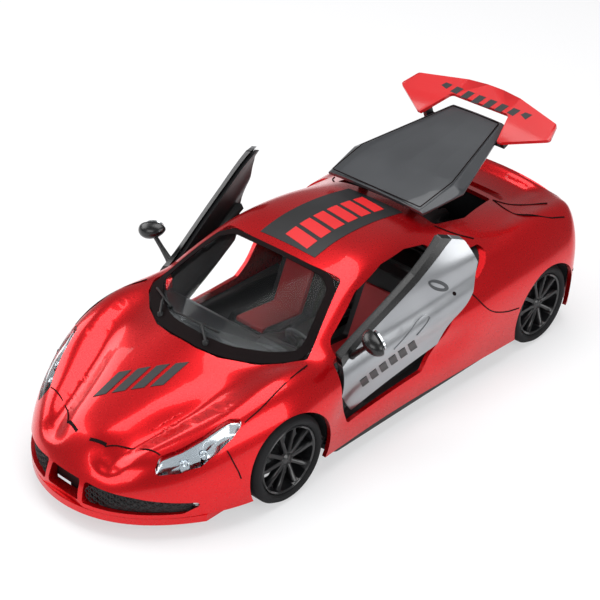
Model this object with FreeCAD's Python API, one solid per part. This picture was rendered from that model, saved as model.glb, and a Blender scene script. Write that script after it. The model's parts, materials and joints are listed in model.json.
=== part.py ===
"""Diecast collector car, 1:24, as an assembly of separate pieces. Millimetres, +X to the nose, +Y to the
car's left, +Z up; the origin is on the ground under the middle of the car. Doors and engine lid stand open."""
import FreeCAD, Part
import math
import os

V = FreeCAD.Vector

# ---- overall sizes -------------------------------------------------------------------------------------
LENGTH = 185.5          # nose lip to tail bumper
WHEELBASE = 110.4
FRONT_OVERHANG = 47.3
BODY_BOTTOM = 7.0       # lower edge of the painted shell
ROOF_HEIGHT = 50.3
WIDTH_SCALE = 1.0       # widens or narrows the painted shell and what is fitted to it
WALL = 1.3              # casting wall of the painted shell
GAP = 0.3               # gap round every opening panel
SEAT_GAP = 0.05         # clearance where one piece seats against another
LINING_GAP = 0.12       # clearance between the shell and what follows its inside

NOSE = LENGTH / 2
NOSE_FLAT, TAIL_FLAT = 1.15, 4.4         # how far the painted shell's flat ends lie inside the length
FRONT_AXLE_X = NOSE - FRONT_OVERHANG
REAR_AXLE_X = FRONT_AXLE_X - WHEELBASE

# ---- wheels --------------------------------------------------------------------------------------------
TYRE_R = 13.0
RIM_R = 10.2            # radius where the tyre sits on the rim
RIM_LIP = 0.8
FRONT_TYRE_W, REAR_TYRE_W = 9.6, 10.4
WHEEL_FACE_Y = 38.4     # outer face of the front tyres; the rear ones stand out a little more
REAR_FACE_EXTRA = 0.5
SPOKE_PAIRS = 5
AXLE_R = 1.0
BEARING_CLEARANCE = 0.06
ARCH_CLEARANCE = 1.7    # wheel arch radius beyond the tyre

# ---- floor pan -----------------------------------------------------------------------------------------
PAN_BOTTOM, PAN_TOP = 5.2, 6.9
SCREW_R, SCREW_HEAD_R = 1.0, 1.9
STAND_HOLE_R = 1.25     # holes that take the screws of a display stand
STAND_BOSS_H = 5.0
STAND_X = 34.0

# ---- hinges --------------------------------------------------------------------------------------------
DOOR_PIVOT = (24.9, 33.2, 29.3)
DOOR_AXIS = (-0.5035, 0.7745, -0.3830)  # left door, swings out and up; mirrored for the right one
DOOR_OPEN = 23.3
LID_PIVOT = (-24.0, 45.6)               # x, z of the lid's hinge line, under the rear edge of the roof
LID_OPEN = 21.0
PIN_R = 0.7
PIN_CLEARANCE = 0.05


# ---- curves that shape the body ------------------------------------------------------------------------
def spline(*points):
    """Natural cubic curve through (x, value) points, straight beyond its ends."""
    points = sorted(points)
    xs, ys = [p[0] for p in points], [p[1] for p in points]
    n = len(xs)
    h = [xs[i + 1] - xs[i] for i in range(n - 1)]
    slope = [(ys[i + 1] - ys[i]) / h[i] for i in range(n - 1)]
    c, d = [0.0] * n, [0.0] * n
    for i in range(1, n - 1):
        w = 2 * (h[i - 1] + h[i]) - h[i - 1] * c[i - 1]
        c[i] = h[i] / w
        d[i] = (6 * (slope[i] - slope[i - 1]) - h[i - 1] * d[i - 1]) / w
    m = [0.0] * n
    for i in range(n - 2, 0, -1):
        m[i] = d[i] - c[i] * m[i + 1]

    def value(x):
        if x < xs[0]:
            return ys[0] + (x - xs[0]) * (slope[0] - h[0] * m[1] / 6)
        if x > xs[-1]:
            return ys[-1] + (x - xs[-1]) * (slope[-1] + h[-1] * m[-2] / 6)
        i = max(k for k in range(n - 1) if xs[k] <= x)
        p, q, w = x - xs[i], xs[i + 1] - x, h[i]
        bend = (m[i] * q ** 3 + m[i + 1] * p ** 3) / (6 * w)
        return bend + (ys[i] / w - m[i] * w / 6) * q + (ys[i + 1] / w - m[i + 1] * w / 6) * p

    return value


def smax(a, b, k):
    """The larger of a and b, with the corner between them rounded over k."""
    h = max(k - abs(a - b), 0) / k
    return max(a, b) + h ** 3 * k / 6


def smin(a, b, k):
    return -smax(-a, -b, k)


def bell(x, centre, width):
    return math.exp(-((x - centre) / width) ** 2)


def step(x, low, high):
    """Rises smoothly from 0 at low to 1 at high; low may be the larger."""
    t = min(max((x - low) / (high - low), 0), 1)
    return t ** 3 * (10 - 15 * t + 6 * t * t)


deck_z = spline((93, 12.5), (90, 16.5), (87, 19.8), (84, 22.3), (76, 25.6), (66, 29.0), (56, 32.0),
                (46, 34.2), (34, 35.0), (10, 33.6), (-10, 32.8), (-30, 34.4), (-45, 36.6), (-60, 38.2),
                (-75, 39.2), (-93, 39.9))
crown = spline((93, 3.0), (80, 3.3), (60, 3.2), (45, 3.6), (0, 3.4), (-30, 2.8), (-60, 2.4), (-93, 3.4))
ridge_h = spline((93, -0.5), (76, 0.5), (60, 2.6), (45, 4.0), (28, 3.4), (0, 2.0), (-30, 3.2), (-58, 5.0),
                 (-78, 4.2), (-93, 3.0))
ridge_y = spline((93, 29), (60, 31.2), (45, 32.6), (0, 34.5), (-30, 33.5), (-60, 32.6), (-93, 35.0))
half_width = spline((93, 37), (75, 38.3), (60, 39.6), (45, 40.4), (28, 39.4), (5, 38.6), (-15, 39.0),
                    (-35, 40.0), (-55, 40.9), (-70, 40.9), (-82, 40.0), (-93, 38.8))
roof_z = spline((40, 43.0), (24, 47.0), (8, 49.4), (-6, ROOF_HEIGHT), (-18, ROOF_HEIGHT - 0.5),
                (-32, 47.6), (-46, 45.0), (-60, 41.8), (-68, 39.6), (-76, 37.2), (-93, 33.0))
glass_y = spline((46, 26.6), (0, 26.4), (-20, 25.6), (-36, 23.6), (-60, 17.5), (-93, 11))
glass_s = spline((46, 0.62), (0, 0.62), (-14, 0.75), (-28, 1.15), (-44, 1.8), (-93, 2.4))


def lower_body(x, a, z):
    """Below 0 inside the wings, bonnet, deck and sides; a is the distance from the centre plane."""
    scoop = step(x, 44, 72) * step(x, 89, 84) * bell(a, 11.2 + (84 - max(x, 40)) * 0.33, 4.2)
    sink = step(x, -62, -70) * step(x, -88, -82) * step(a, 24, 15)
    top = deck_z(x) - crown(x) * (a / 30) ** 2 + ridge_h(x) * bell(a, ridge_y(x), 7.5)
    top -= 2.6 * scoop + 1.6 * sink
    lean = 2.4 * (max(z - 25, 0) / 10) ** 2 + 1.3 * (max(25 - z, 0) / 18) ** 2
    waist = 1.7 * bell(z, 19.5, 5) * step(x, -38, -10) * step(x, 34, 18)
    nose = NOSE - 0.0150 * a ** 2 - 4.2e-6 * a ** 4 - 0.020 * max(z - 8, 0) ** 2
    tail = 1.0 - NOSE + 0.0040 * a ** 2 + 2.0e-6 * a ** 4
    body = smax((z - top) / 1.06, a - half_width(x) + lean + waist, 13)
    body = smax(body, (x - nose) * 0.93, 11)
    return smax(body, tail - x, 6)


def cabin(x, a, z):
    """Below 0 inside the windscreen, roof and the sloping tail behind it."""
    fall = 0.365 * (1 + 0.62 * (a / 30) ** 2) * (x - 8)
    screen = 48.6 - 0.0028 * a ** 2 - fall + 0.0011 * (x - 8) * (46 - x) * step(x, -5, 12)
    top = (z - smin(screen, roof_z(x) - 0.0030 * a ** 2, 5)) / 1.05
    s = glass_s(x)
    side = (a - (glass_y(x) - s * (z - 44))) / math.sqrt(1 + s * s)
    wall = smax(smax(a - half_width(x) + 5, -88 + 0.0045 * a ** 2 - x, 6), x - 60, 6)
    return smax(smax(top, side, 7), wall, 4)


def body(x, y, z):
    a = abs(y) / WIDTH_SCALE
    return smin(lower_body(x, a, z), cabin(x, a, z), 4)


# ---- small helpers -------------------------------------------------------------------------------------
def box(x0, x1, y0, y1, z0, z1):
    return Part.makeBox(x1 - x0, y1 - y0, z1 - z0, V(x0, y0, z0))


def rod(start, end, r):
    a, b = V(*start), V(*end)
    return Part.makeCylinder(r, (b - a).Length, a, b - a)


def mirror(shape):
    return shape.mirror(V(0, 0, 0), V(0, 1, 0))


def both(shape):
    """A piece and its mirror image, as separate solids."""
    return Part.makeCompound([shape, mirror(shape)])


def fuse(*shapes):
    return shapes[0].fuse(list(shapes[1:])).removeSplitter()


def rounded(points, radius):
    """A closed wire through points with every corner rounded; radius is one value or one for each point."""
    n = len(points)
    radii = radius if isinstance(radius, (list, tuple)) else [radius] * n
    starts, ends, mids = [], [], []
    for i in range(n):
        p, q, r = points[i - 1], points[i], points[(i + 1) % n]
        u, w = (p - q), (r - q)
        half = u.getAngle(w) / 2
        most = 0.45 * min(u.Length, w.Length) * math.tan(half)
        rad = min(radii[i], most)
        u.normalize()
        w.normalize()
        run = rad / math.tan(half)
        middle = u + w
        middle.normalize()
        starts.append(q + u * run)
        ends.append(q + w * run)
        mids.append(q + middle * (rad / math.sin(half) - rad))
    edges = []
    for i in range(n):
        edges.append(Part.Arc(starts[i], mids[i], ends[i]).toShape())
        edges.append(Part.LineSegment(ends[i], starts[(i + 1) % n]).toShape())
    return Part.Wire(edges)


def prism(points, axis, low, high, radius=1.0, grow=0.0):
    """A solid with a rounded outline, run along axis from low to high; points are the other two values."""
    place = {"x": lambda p: V(low, *p), "y": lambda p: V(p[0], low, p[1]), "z": lambda p: V(*p, low)}[axis]
    way = {"x": V(1, 0, 0), "y": V(0, 1, 0), "z": V(0, 0, 1)}[axis]
    wire = rounded([place(p) for p in points], radius)
    if grow:
        wire = wire.makeOffset2D(grow)
    return Part.Face(wire).extrude(way * (high - low))


def revolve_y(profile, x, z):
    """A solid of revolution about the line through (x, z) along Y; profile holds (radius, y) points."""
    points = [V(x, y, z + r) for r, y in profile]
    return Part.Face(Part.makePolygon(points + points[:1])).revolve(V(x, 0, z), V(0, 1, 0), 360)


def turn(shape, pivot, axis, degrees):
    shape = shape.copy()
    shape.rotate(V(*pivot), V(*axis), degrees)
    return shape


# ---- the skin ------------------------------------------------------------------------------------------
def section(x, count, inset, bottom):
    """Points (y, z) on half of the section at x, from its lower edge to the centre plane."""
    middle = bottom + 0.45 * (deck_z(x) - bottom)
    bottom -= 1

    def reach(oz, dy, dz):
        low, high = 0.0, 60.0
        for _ in range(26):
            r = (low + high) / 2
            if body(x, dy * r, oz + dz * r) < -inset:
                low = r
            else:
                high = r
        return low

    foot = reach(bottom, 1, 0)
    start = math.atan2(bottom - middle, foot)
    points = [(foot, bottom)]
    for i in range(1, count):
        angle = start + (math.pi / 2 - start) * i / (count - 1)
        r = reach(middle, math.cos(angle), math.sin(angle))
        points.append((r * math.cos(angle) if i < count - 1 else 0.0, middle + r * math.sin(angle)))
    return points


def skin(inset, bottom, nose, tail, across=25, along=60):
    """The solid inside the body surface moved in by inset, between two end planes and above bottom."""
    rows = []
    for i in range(along):
        t = i / (along - 1)
        x = tail + (nose - tail) * (t - 0.11 * math.sin(2 * math.pi * t))
        half = section(x, across, inset, bottom)
        rows.append([V(x, y, z) for y, z in half] + [V(x, -y, z) for y, z in half[-2::-1]])
    surface = Part.BSplineSurface()
    surface.interpolate(rows)
    top = surface.toShape()
    ends, sides = [], []
    for edge in top.Edges:
        middle = edge.valueAt((edge.FirstParameter + edge.LastParameter) / 2)
        (ends if min(abs(middle.x - nose), abs(middle.x - tail)) < 0.01 else sides).append(edge)
    caps = [Part.Face(Part.Wire([e, Part.LineSegment(e.firstVertex().Point, e.lastVertex().Point).toShape()]))
            for e in ends]
    shell = Part.makeShell([top, Part.makeRuledSurface(*sides)] + caps)
    shell.sewShape()
    solid = Part.Solid(shell)
    if solid.Volume < 0:
        solid.reverse()
    return solid.common(box(-200, 200, -100, 100, bottom, 100))


def level(depth, bottom=BODY_BOTTOM - 1.5):
    """The solid inside the body surface moved in by depth."""
    return skin(depth, bottom, NOSE - NOSE_FLAT - 2.3 * depth, TAIL_FLAT - NOSE + 1.5 * depth)


def wide(*points):
    """A symmetrical outline from its half on the car's left, y scaled with the body."""
    half = [(x, y * WIDTH_SCALE) for x, y in points]
    return half + [(x, -y) for x, y in half[::-1]]


def left(*points):
    return [(x, y * WIDTH_SCALE) for x, y in points]


OUTER = level(0, BODY_BOTTOM)
UNDER = level(WALL)                     # inside face of the painted shell
LINING = level(WALL + LINING_GAP)         # what is fitted against the inside of the shell
TRIM = level(WALL + 0.35)               # what only has to clear it
DEEP = level(WALL + 1.7)                # what has to clear the door panels too

# ---- outlines ------------------------------------------------------------------------------------------
BELT_DEPTH = 2.2
DOOR = [(25.2, 32.6), (26.2, 24.0), (23.2, 13.8), (-9.0, 15.0), (-22.5, 27.5), (-27.2, 34.0),
        (-26.5, 40.0), (-20.5, 43.0), (-8.0, 39.4), (8.0, 35.8)]
BELT = [(25.2, 32.6), (8.0, 35.8), (-8.0, 39.4), (-20.5, 43.0)]
WINDOW = [(23.5, 32.0), (22.5, 36.4), (8.0, 43.8), (-5.0, 46.4), (-16.0, 46.4), (-25.5, 44.6),
          (-26.2, 40.0), (0.0, 34.0)]
SCREEN = wide((47.8, 5.0), (46.4, 12.0), (41.8, 20.0), (36.2, 26.4), (30.8, 29.8), (8.6, 21.8), (10.2, 8.0))
GLASS_FOOT = wide((42.6, 5.0), (40.6, 13.5), (36.4, 20.8), (30.6, 27.6), (26.0, 32.0), (5.0, 32.0))
BAY = wide((-34.5, 19.0), (-48.0, 19.8), (-68.3, 14.2))
LAMP = left((80.6, 22.8), (76.8, 21.9), (71.9, 25.1), (67.2, 27.4), (60.0, 29.9), (57.2, 33.0),
            (62.0, 33.1), (66.5, 32.1), (70.8, 30.6), (75.8, 27.3))
MOUTH_MIDDLE = [(-5.9, 8.2), (-5.4, 14.0), (5.4, 14.0), (5.9, 8.2)]
MOUTH_SIDE = [(7.4, 8.2), (7.0, 14.0), (20.0, 13.2), (33.0, 10.9), (29.5, 8.2)]
INTAKE = [(-30.0, 40.4), (-44.6, 39.6), (-35.2, 33.8), (-30.0, 34.6)]
TAIL_PANEL = [(-18.5, 27.6), (-18.5, 34.0), (18.5, 34.0), (18.5, 27.6)]
TAIL_LAMP = (25.5, 30.8, 3.9)           # y, z, radius
EXHAUST = (19.0, 17.0, 2.6)             # y, z, radius of the tail pipes
DIFFUSER_HALF, DIFFUSER_TOP = 24.0, 12.5


def through_side(points, grow=0.0, inner=18.0, radius=1.2):
    return prism(points, "y", inner * WIDTH_SCALE, 60 * WIDTH_SCALE, radius, grow)


def from_above(points, grow=0.0, low=15.2, radius=1.5):
    return prism(points, "z", low, 60.0, radius, grow)


def from_front(points, low, high, grow=0.0, radius=0.8):
    return prism([(y * WIDTH_SCALE, z) for y, z in points], "x", low, high, radius, grow)


# ---- painted shell -------------------------------------------------------------------------------------
def arch(x):
    """The round cut for a wheel, through one side of the shell."""
    r = TYRE_R + ARCH_CLEARANCE
    return rod((x, 26.0, TYRE_R - 0.2), (x, 60.0, TYRE_R - 0.2), r)


SCREWS = [(68.0, 12.0), (-77.0, 21.0)]


def post(x, y):
    """A screw post that hangs from the shell down to the floor pan."""
    raw = rod((x, y, PAN_TOP + SEAT_GAP), (x, y, 60.0), 2.6).common(OUTER)
    return raw.cut(rod((x, y, 0), (x, y, PAN_TOP + 9.0), SCREW_R * 0.85))


def door_lug():
    """Carries the inner end of the door's hinge pin."""
    start, end = along_door_pin(1.1), along_door_pin(2.9)
    block = box(end[0] - 2.4, end[0] + 1.2, end[1] - 1.2, start[1] + 0.4, start[2] - 1.6, start[2] + 5)
    slab = rod(start, end, 12).common(block)
    return slab.common(OUTER).cut(rod(along_door_pin(-3), along_door_pin(9), PIN_R + SEAT_GAP / 2))


def along_door_pin(t):
    """A point on the left door's hinge line, t millimetres inwards from the pivot."""
    return tuple(p - t * a for p, a in zip(DOOR_PIVOT, DOOR_AXIS))


LID_ARM_Y, LID_ARM_W = 10.0, 2.0
HINGE_RELIEF = 3.4      # how far the door's top front corner is set back, so that it clears the shell


def lid_lugs():
    """Two cheeks under the roof for one hinge pin of the lid."""
    x, z = LID_PIVOT
    inner = LID_ARM_Y - LID_ARM_W / 2 - 0.4
    outer = LID_ARM_Y + LID_ARM_W / 2 + 0.4
    raw = fuse(box(x - 1.6, x + 1.6, inner - 1.4, inner, z - 1.6, 60),
               box(x - 1.6, x + 1.6, outer, outer + 1.4, z - 1.6, 60)).common(OUTER)
    return raw.cut(rod((x, 0, z), (x, 40, z), PIN_R + SEAT_GAP / 2))


def body_shell():
    """Painted casting with its bonnet, wings, roof and sills, open where panels and lamps go."""
    cuts = [UNDER, from_above(SCREEN, low=25), from_above(BAY, low=25)]
    y, z, r = TAIL_LAMP
    side_cuts = [through_side(DOOR), through_side(WINDOW, radius=4.0), through_side(INTAKE, radius=0.8),
                 from_above(LAMP), from_front(MOUTH_SIDE, 70, 100),
                 arch(FRONT_AXLE_X), arch(REAR_AXLE_X),
                 rod((-100, y, z), (-70, y, z), r), rod((-100, EXHAUST[0], EXHAUST[1]),
                                                       (-70, EXHAUST[0], EXHAUST[1]), EXHAUST[2] + 0.3)]
    for cut in side_cuts:
        cuts += [cut, mirror(cut)]
    cuts.append(from_front(MOUTH_MIDDLE, 70, 100))
    cuts.append(from_front(TAIL_PANEL, -100, -80, radius=1.5))
    cuts.append(box(-100, -80, -DIFFUSER_HALF, DIFFUSER_HALF, 0, DIFFUSER_TOP))
    shell = OUTER.cut(cuts)
    extras = [post(x, y) for x, y in SCREWS] + [door_lug(), lid_lugs()]
    return shell.fuse(extras + [mirror(e) for e in extras]).cut(bracket_rebate())


# ---- floor pan and what it carries ---------------------------------------------------------------------
PAN = wide((84.5, 10.0), (80.0, 20.0), (62.0, 26.0), (29.0, 26.0), (27.0, 37.2), (-46.5, 37.2),
           (-48.5, 26.0), (-82.0, 26.0), (-85.0, 22.0))


def stand_bosses():
    bosses = [rod((x, 0, PAN_TOP - 0.5), (x, 0, PAN_TOP + STAND_BOSS_H), STAND_HOLE_R + 1.4)
              for x in (STAND_X, -STAND_X)]
    return bosses


def floor_pan():
    """Black plastic floor with ribs, screw holes, and two threaded bosses for a display stand."""
    pan = prism(PAN, "z", PAN_BOTTOM, PAN_TOP, 2.0)
    pan = pan.fuse(stand_bosses())
    cuts = [rod((x, 0, 0), (x, 0, PAN_TOP + STAND_BOSS_H - 1.0), STAND_HOLE_R) for x in (STAND_X, -STAND_X)]
    for x, y in SCREWS:
        for side in (1, -1):
            cuts.append(rod((x, side * y, 0), (x, side * y, 20), SCREW_R + 0.2))
            cuts.append(rod((x, side * y, 0), (x, side * y, PAN_BOTTOM + 0.9), SCREW_HEAD_R + 0.2))
    for x in range(-20, 21, 8):
        cuts.append(box(x - 2.4, x + 2.4, 8, 26, PAN_BOTTOM - 1, PAN_BOTTOM + 0.5))
        cuts.append(box(x - 2.4, x + 2.4, -26, -8, PAN_BOTTOM - 1, PAN_BOTTOM + 0.5))
    return pan.cut(cuts)


def chassis_screws():
    screws = []
    for x, y in SCREWS:
        for side in (1, -1):
            head = rod((x, side * y, PAN_BOTTOM + 0.1), (x, side * y, PAN_BOTTOM + 0.85), SCREW_HEAD_R)
            shank = rod((x, side * y, PAN_BOTTOM + 0.85), (x, side * y, PAN_TOP + 7.0), SCREW_R * 0.85 - 0.02)
            slots = [box(x - 1.1, x + 1.1, side * y - 0.2, side * y + 0.2, 0, PAN_BOTTOM + 0.5),
                     box(x - 0.2, x + 0.2, side * y - 1.1, side * y + 1.1, 0, PAN_BOTTOM + 0.5)]
            screws.append(fuse(head, shank).cut(slots))
    return Part.makeCompound(screws)


def nose_line(shift, half):
    """The nose's plan curve moved back by shift, as points from right to left."""
    ys = [half * (k / 6 - 1) for k in range(13)]
    return [V(NOSE - shift - 0.0150 * y * y - 4.2e-6 * y ** 4, y * WIDTH_SCALE, 0) for y in ys]


def front_lip():
    """Painted splitter under the nose."""
    front, back = Part.BSplineCurve(), Part.BSplineCurve()
    front.interpolate(nose_line(0, 33.0))
    back.interpolate(nose_line(7.5, 33.0))
    a, b = nose_line(0, 33.0), nose_line(7.5, 33.0)
    wire = Part.Wire([front.toShape(), Part.LineSegment(a[-1], b[-1]).toShape(), back.toShape(),
                      Part.LineSegment(b[0], a[0]).toShape()])
    lip = Part.Face(Part.Wire(Part.sortEdges(wire.Edges)[0])).extrude(V(0, 0, BODY_BOTTOM - 0.05 - 4.9))
    lip.translate(V(0, 0, 4.9))
    return lip.cut(prism(PAN, "z", 0, 20, 2.0, SEAT_GAP))


def front_grille():
    """Black mesh moulding behind the mouth openings."""
    layer = LINING.cut(level(WALL + 1.3))
    middle = from_front([(-9.5, 7.6), (-9.5, 15.0), (9.5, 15.0), (9.5, 7.6)], 60, 100)
    side = from_front([(8.5, 7.6), (8.5, 15.0), (20.0, 14.2), (33.6, 11.8), (30.5, 7.6)], 60, 100)
    block = fuse(middle, side, mirror(side))
    return layer.common(block.common(box(73.5, 100, -40, 40, 0, 40))).cut(front_lip())


def axle_carrier(x):
    """Two bearing towers on one foot, moulded to hold an axle over the floor pan."""
    foot = box(x - 5, x + 5, -25, 25, PAN_TOP, PAN_TOP + 1.4)
    towers = []
    for side in (1, -1):
        y0, y1 = sorted((side * 21, side * 25))
        towers += [box(x - 3, x + 3, y0, y1, PAN_TOP, TYRE_R), rod((x, y0, TYRE_R), (x, y1, TYRE_R), 3.0)]
    bore = rod((x, -30, TYRE_R), (x, 30, TYRE_R), AXLE_R + BEARING_CLEARANCE)
    return fuse(foot, *towers).cut(bore)


BRAKE_R = 7.0


def brake(x, face):
    """Brake disc with its caliper, fixed on a sleeve round the axle; face is the y of its outer side."""
    disc = fuse(rod((x, face - 1.2, TYRE_R), (x, face, TYRE_R), BRAKE_R),
                rod((x, 25 + SEAT_GAP, TYRE_R), (x, face, TYRE_R), 2.4))
    pad = box(x - 8.6, x - 4.4, face - 3.0, face + 0.9, TYRE_R - 3.4, TYRE_R + 3.4)
    ring = rod((x, face - 4, TYRE_R), (x, face + 2, TYRE_R), 8.6)
    return fuse(disc, pad.common(ring)).cut(rod((x, 0, TYRE_R), (x, 40, TYRE_R), AXLE_R + 0.25))


def axle(x, face):
    return rod((x, -(face - 2.2), TYRE_R), (x, face - 2.2, TYRE_R), AXLE_R)


def tyre(x, face, width):
    """Left tyre with rounded shoulders and three tread grooves."""
    inner = face - width
    profile = [(RIM_R, inner + 0.9), (RIM_R, face - 0.9), (RIM_R + 0.6, face - 0.2), (RIM_R + 1.5, face),
               (TYRE_R - 0.8, face - 0.4), (TYRE_R, face - 1.6), (TYRE_R, inner + 1.6),
               (TYRE_R - 0.8, inner + 0.4), (RIM_R + 1.5, inner), (RIM_R + 0.6, inner + 0.2)]
    ring = revolve_y(profile, x, TYRE_R)
    grooves = []
    for share in (0.32, 0.5, 0.68):
        y = inner + width * share
        grooves.append(rod((x, y - 0.3, TYRE_R), (x, y + 0.3, TYRE_R), TYRE_R + 1).cut(
            rod((x, y - 1, TYRE_R), (x, y + 1, TYRE_R), TYRE_R - 0.5)))
    return ring.cut(grooves)


def rim(x, face, width):
    """Left wheel: a barrel with ten spokes in five pairs, a hub with a blind bore, and a centre cap."""
    outer = RIM_R - SEAT_GAP
    inner = face - width + 1.0
    barrel = revolve_y([(outer - RIM_LIP, inner), (outer, inner), (outer, face - 0.9), (outer - 0.3, face - 0.6),
                        (outer - RIM_LIP, face - 0.9)], x, TYRE_R)
    hub = rod((x, face - 5.6, TYRE_R), (x, face - 1.7, TYRE_R), 2.7)
    cap = rod((x, face - 1.8, TYRE_R), (x, face - 1.3, TYRE_R), 1.5)
    spokes = []
    for pair in range(SPOKE_PAIRS):
        for lean in (-12.5, 12.5):
            spoke = box(x - 0.55, x + 0.55, face - 3.3, face - 1.4, TYRE_R + 2.0, TYRE_R + outer - 0.4)
            spokes.append(turn(spoke, (x, 0, TYRE_R), (0, 1, 0), 360 / SPOKE_PAIRS * pair + lean * 1.35))
    wheel = barrel.fuse([hub, cap] + spokes)
    return wheel.cut(rod((x, 0, TYRE_R), (x, face - 2.2 + 0.1, TYRE_R), AXLE_R + 0.02))


def arch_liner(x):
    """Black liner over a wheel, behind the painted arch."""
    r = TYRE_R + ARCH_CLEARANCE + SEAT_GAP
    centre = TYRE_R - 0.2
    tube = rod((x, 26.6, centre), (x, 45, centre), r + 0.9).cut(rod((x, 20, centre), (x, 50, centre), r))
    liner = tube.common(box(x - 30, x + 30, 20, 50, PAN_TOP + 5.5, 60)).common(TRIM)
    return liner.cut(from_above(LAMP, 1.0))


# ---- cabin ---------------------------------------------------------------------------------------------
TUB_FLOOR = PAN_TOP + 1.3
SILL_TOP = 12.6
SEAT_Y = 15.0


def interior_tub():
    """Black cabin moulding: floor, sills, firewall and the bulkhead behind the seats."""
    floor = box(-29.0, 29.6, -33.5, 33.5, PAN_TOP, TUB_FLOOR)
    nose_floor = box(29.0, 39.6, -25.5, 25.5, PAN_TOP, TUB_FLOOR)
    sills = [box(-27.0, 25.0, 32.0, 36.4, SILL_TOP - 1.0, SILL_TOP),
             box(-27.0, 25.0, 32.0, 33.5, PAN_TOP, SILL_TOP)]
    low = fuse(floor, nose_floor, *sills, *[mirror(s) for s in sills]).common(TRIM)
    bulkhead = box(-30.4, -29.0, -31.0, 31.0, PAN_TOP, 37.6).common(DEEP)
    tunnel = box(-29.0, 29.6, -3.6, 3.6, PAN_TOP, 12.8)
    bosses = [rod((x, 0, 0), (x, 0, PAN_TOP + STAND_BOSS_H + SEAT_GAP), STAND_HOLE_R + 1.4 + SEAT_GAP)
              for x in (STAND_X, -STAND_X)]
    return fuse(low, bulkhead, tunnel).cut(bosses)


def dashboard():
    """Dash top with its instrument hood on the left and a footwell wall below."""
    top = [(23.5, 22.5), (23.0, 26.6), (27.5, 30.0), (40.2, 31.4), (40.2, TUB_FLOOR + SEAT_GAP),
           (38.6, TUB_FLOOR + SEAT_GAP), (38.6, 25.0), (29.0, 22.0)]
    core = prism(top, "y", -25.5, 25.5, 0.5)
    wing = prism([(23.5, 22.5), (23.0, 26.6), (27.5, 29.4), (30.6, 29.4), (30.6, 22.3)], "y", 25.0, 28.6, 0.5)
    hood = prism([(22.6, 25.2), (22.2, 28.4), (27.5, 31.2), (30.5, 30.4), (30.5, 26.0)], "y", 10.0, 20.0, 0.5)
    return fuse(core, wing, mirror(wing), hood).common(DEEP)


def steering_wheel():
    """Three-spoke steering wheel on its column."""
    centre, way = V(16.5, SEAT_Y, 25.6), V(-math.cos(math.radians(24)), 0, math.sin(math.radians(24)))
    ring = Part.makeTorus(5.6, 0.65, centre, way)
    hub = Part.makeCylinder(1.6, 1.6, centre - way * 0.9, way)
    column = Part.makeCylinder(0.9, 6.4, centre - way * 6.6, way)
    spokes = []
    for angle in (90, 210, 330):
        spoke = box(0.8, 5.4, -0.6, 0.6, -0.35, 0.35)
        spoke.rotate(V(0, 0, 0), V(0, 0, 1), angle)
        spoke.rotate(V(0, 0, 0), V(0, 1, 0), -66)
        spoke.translate(centre)
        spokes.append(spoke)
    return fuse(ring, hub, column, *spokes)


SEAT_SIDE = [(7.0, 9.0), (8.5, 13.0), (6.0, 15.2), (-10.5, 13.2), (-19.5, 33.5), (-22.0, 36.0),
             (-24.5, 35.6), (-25.0, 33.0), (-17.0, 9.0)]


def seat_left():
    """Bucket seat shell with raised bolsters."""
    middle = prism(SEAT_SIDE, "y", SEAT_Y - 8.4, SEAT_Y + 8.4, 1.6)
    foot = box(-14, 4, SEAT_Y - 6, SEAT_Y + 6, TUB_FLOOR + SEAT_GAP, 10.5)
    hollow = prism([(8.0, 13.8), (-9.6, 12.0), (-17.5, 30.0), (-15.5, 31.5), (-3.0, 24.0), (12.0, 20.0)], "y",
                   SEAT_Y - 5.4, SEAT_Y + 5.4, 1.2)
    return fuse(middle, foot).cut(hollow)


def seat_pad_left():
    """Seat and back cushion in one moulded insert, set in the seat shell."""
    strip = [(7.6, 13.85), (-9.55, 12.1), (-17.0, 29.6), (-15.8, 30.0), (-8.6, 14.0), (7.4, 15.4)]
    return prism(strip, "y", SEAT_Y - 5.2, SEAT_Y + 5.2, 0.5).cut(seat_left())


def centre_console():
    body_part = prism([(-20.0, 12.85), (-20.0, 15.4), (2.0, 15.4), (20.0, 21.5), (22.4, 21.5), (22.4, 12.85)], "y",
                      -3.4, 3.4, 0.8)
    lever = rod((4.0, 0, 15.0), (4.6, 0, 19.4), 0.5)
    return fuse(body_part, lever, Part.makeSphere(1.1, V(4.6, 0, 19.8)))


# ---- glass, lamps, wipers ------------------------------------------------------------------------------
def windscreen():
    """Clear moulding that fills the screen opening behind the cowl."""
    layer = level(0.12).cut(level(1.15))
    opening = from_above(SCREEN, -SEAT_GAP, low=25)
    return layer.common(opening.common(from_above(GLASS_FOOT, low=25)))


def cowl():
    """Black trim between the bonnet's edge and the foot of the windscreen."""
    layer = LINING.cut(level(WALL + 1.3))
    band = from_above(SCREEN, 1.2, low=25).cut(from_above(GLASS_FOOT, -1.6, low=20))
    return layer.common(band).common(box(25.0, 60.0, -40, 40, 20, 60))


def surface_z(x, y, lift):
    """Height above the body surface at (x, y)."""
    low, high = 20.0, 60.0
    for _ in range(30):
        z = (low + high) / 2
        if body(x, y, z) < 0:
            low = z
        else:
            high = z
    return low + lift


def wiper(foot, joint, tip, heel):
    """Arm from its spindle to the blade's middle, and the blade lying over the glass."""
    points = [(x, y, surface_z(x, y, lift)) for (x, y), lift in
              ((foot, -1.3), (foot, 0.9), (joint, 1.5), (tip, 1.0), (heel, 1.0))]
    spindle = rod(points[0], points[1], 0.8)
    arm = rod(points[1], points[2], 0.4)
    blade = rod(points[3], points[4], 0.35)
    link = rod(points[2], tuple((a + b) / 2 for a, b in zip(points[3], points[4])), 0.35)
    balls = [Part.makeSphere(0.4, V(*p)) for p in points[1:3]]
    return fuse(spindle, arm, blade, link, *balls)


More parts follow.
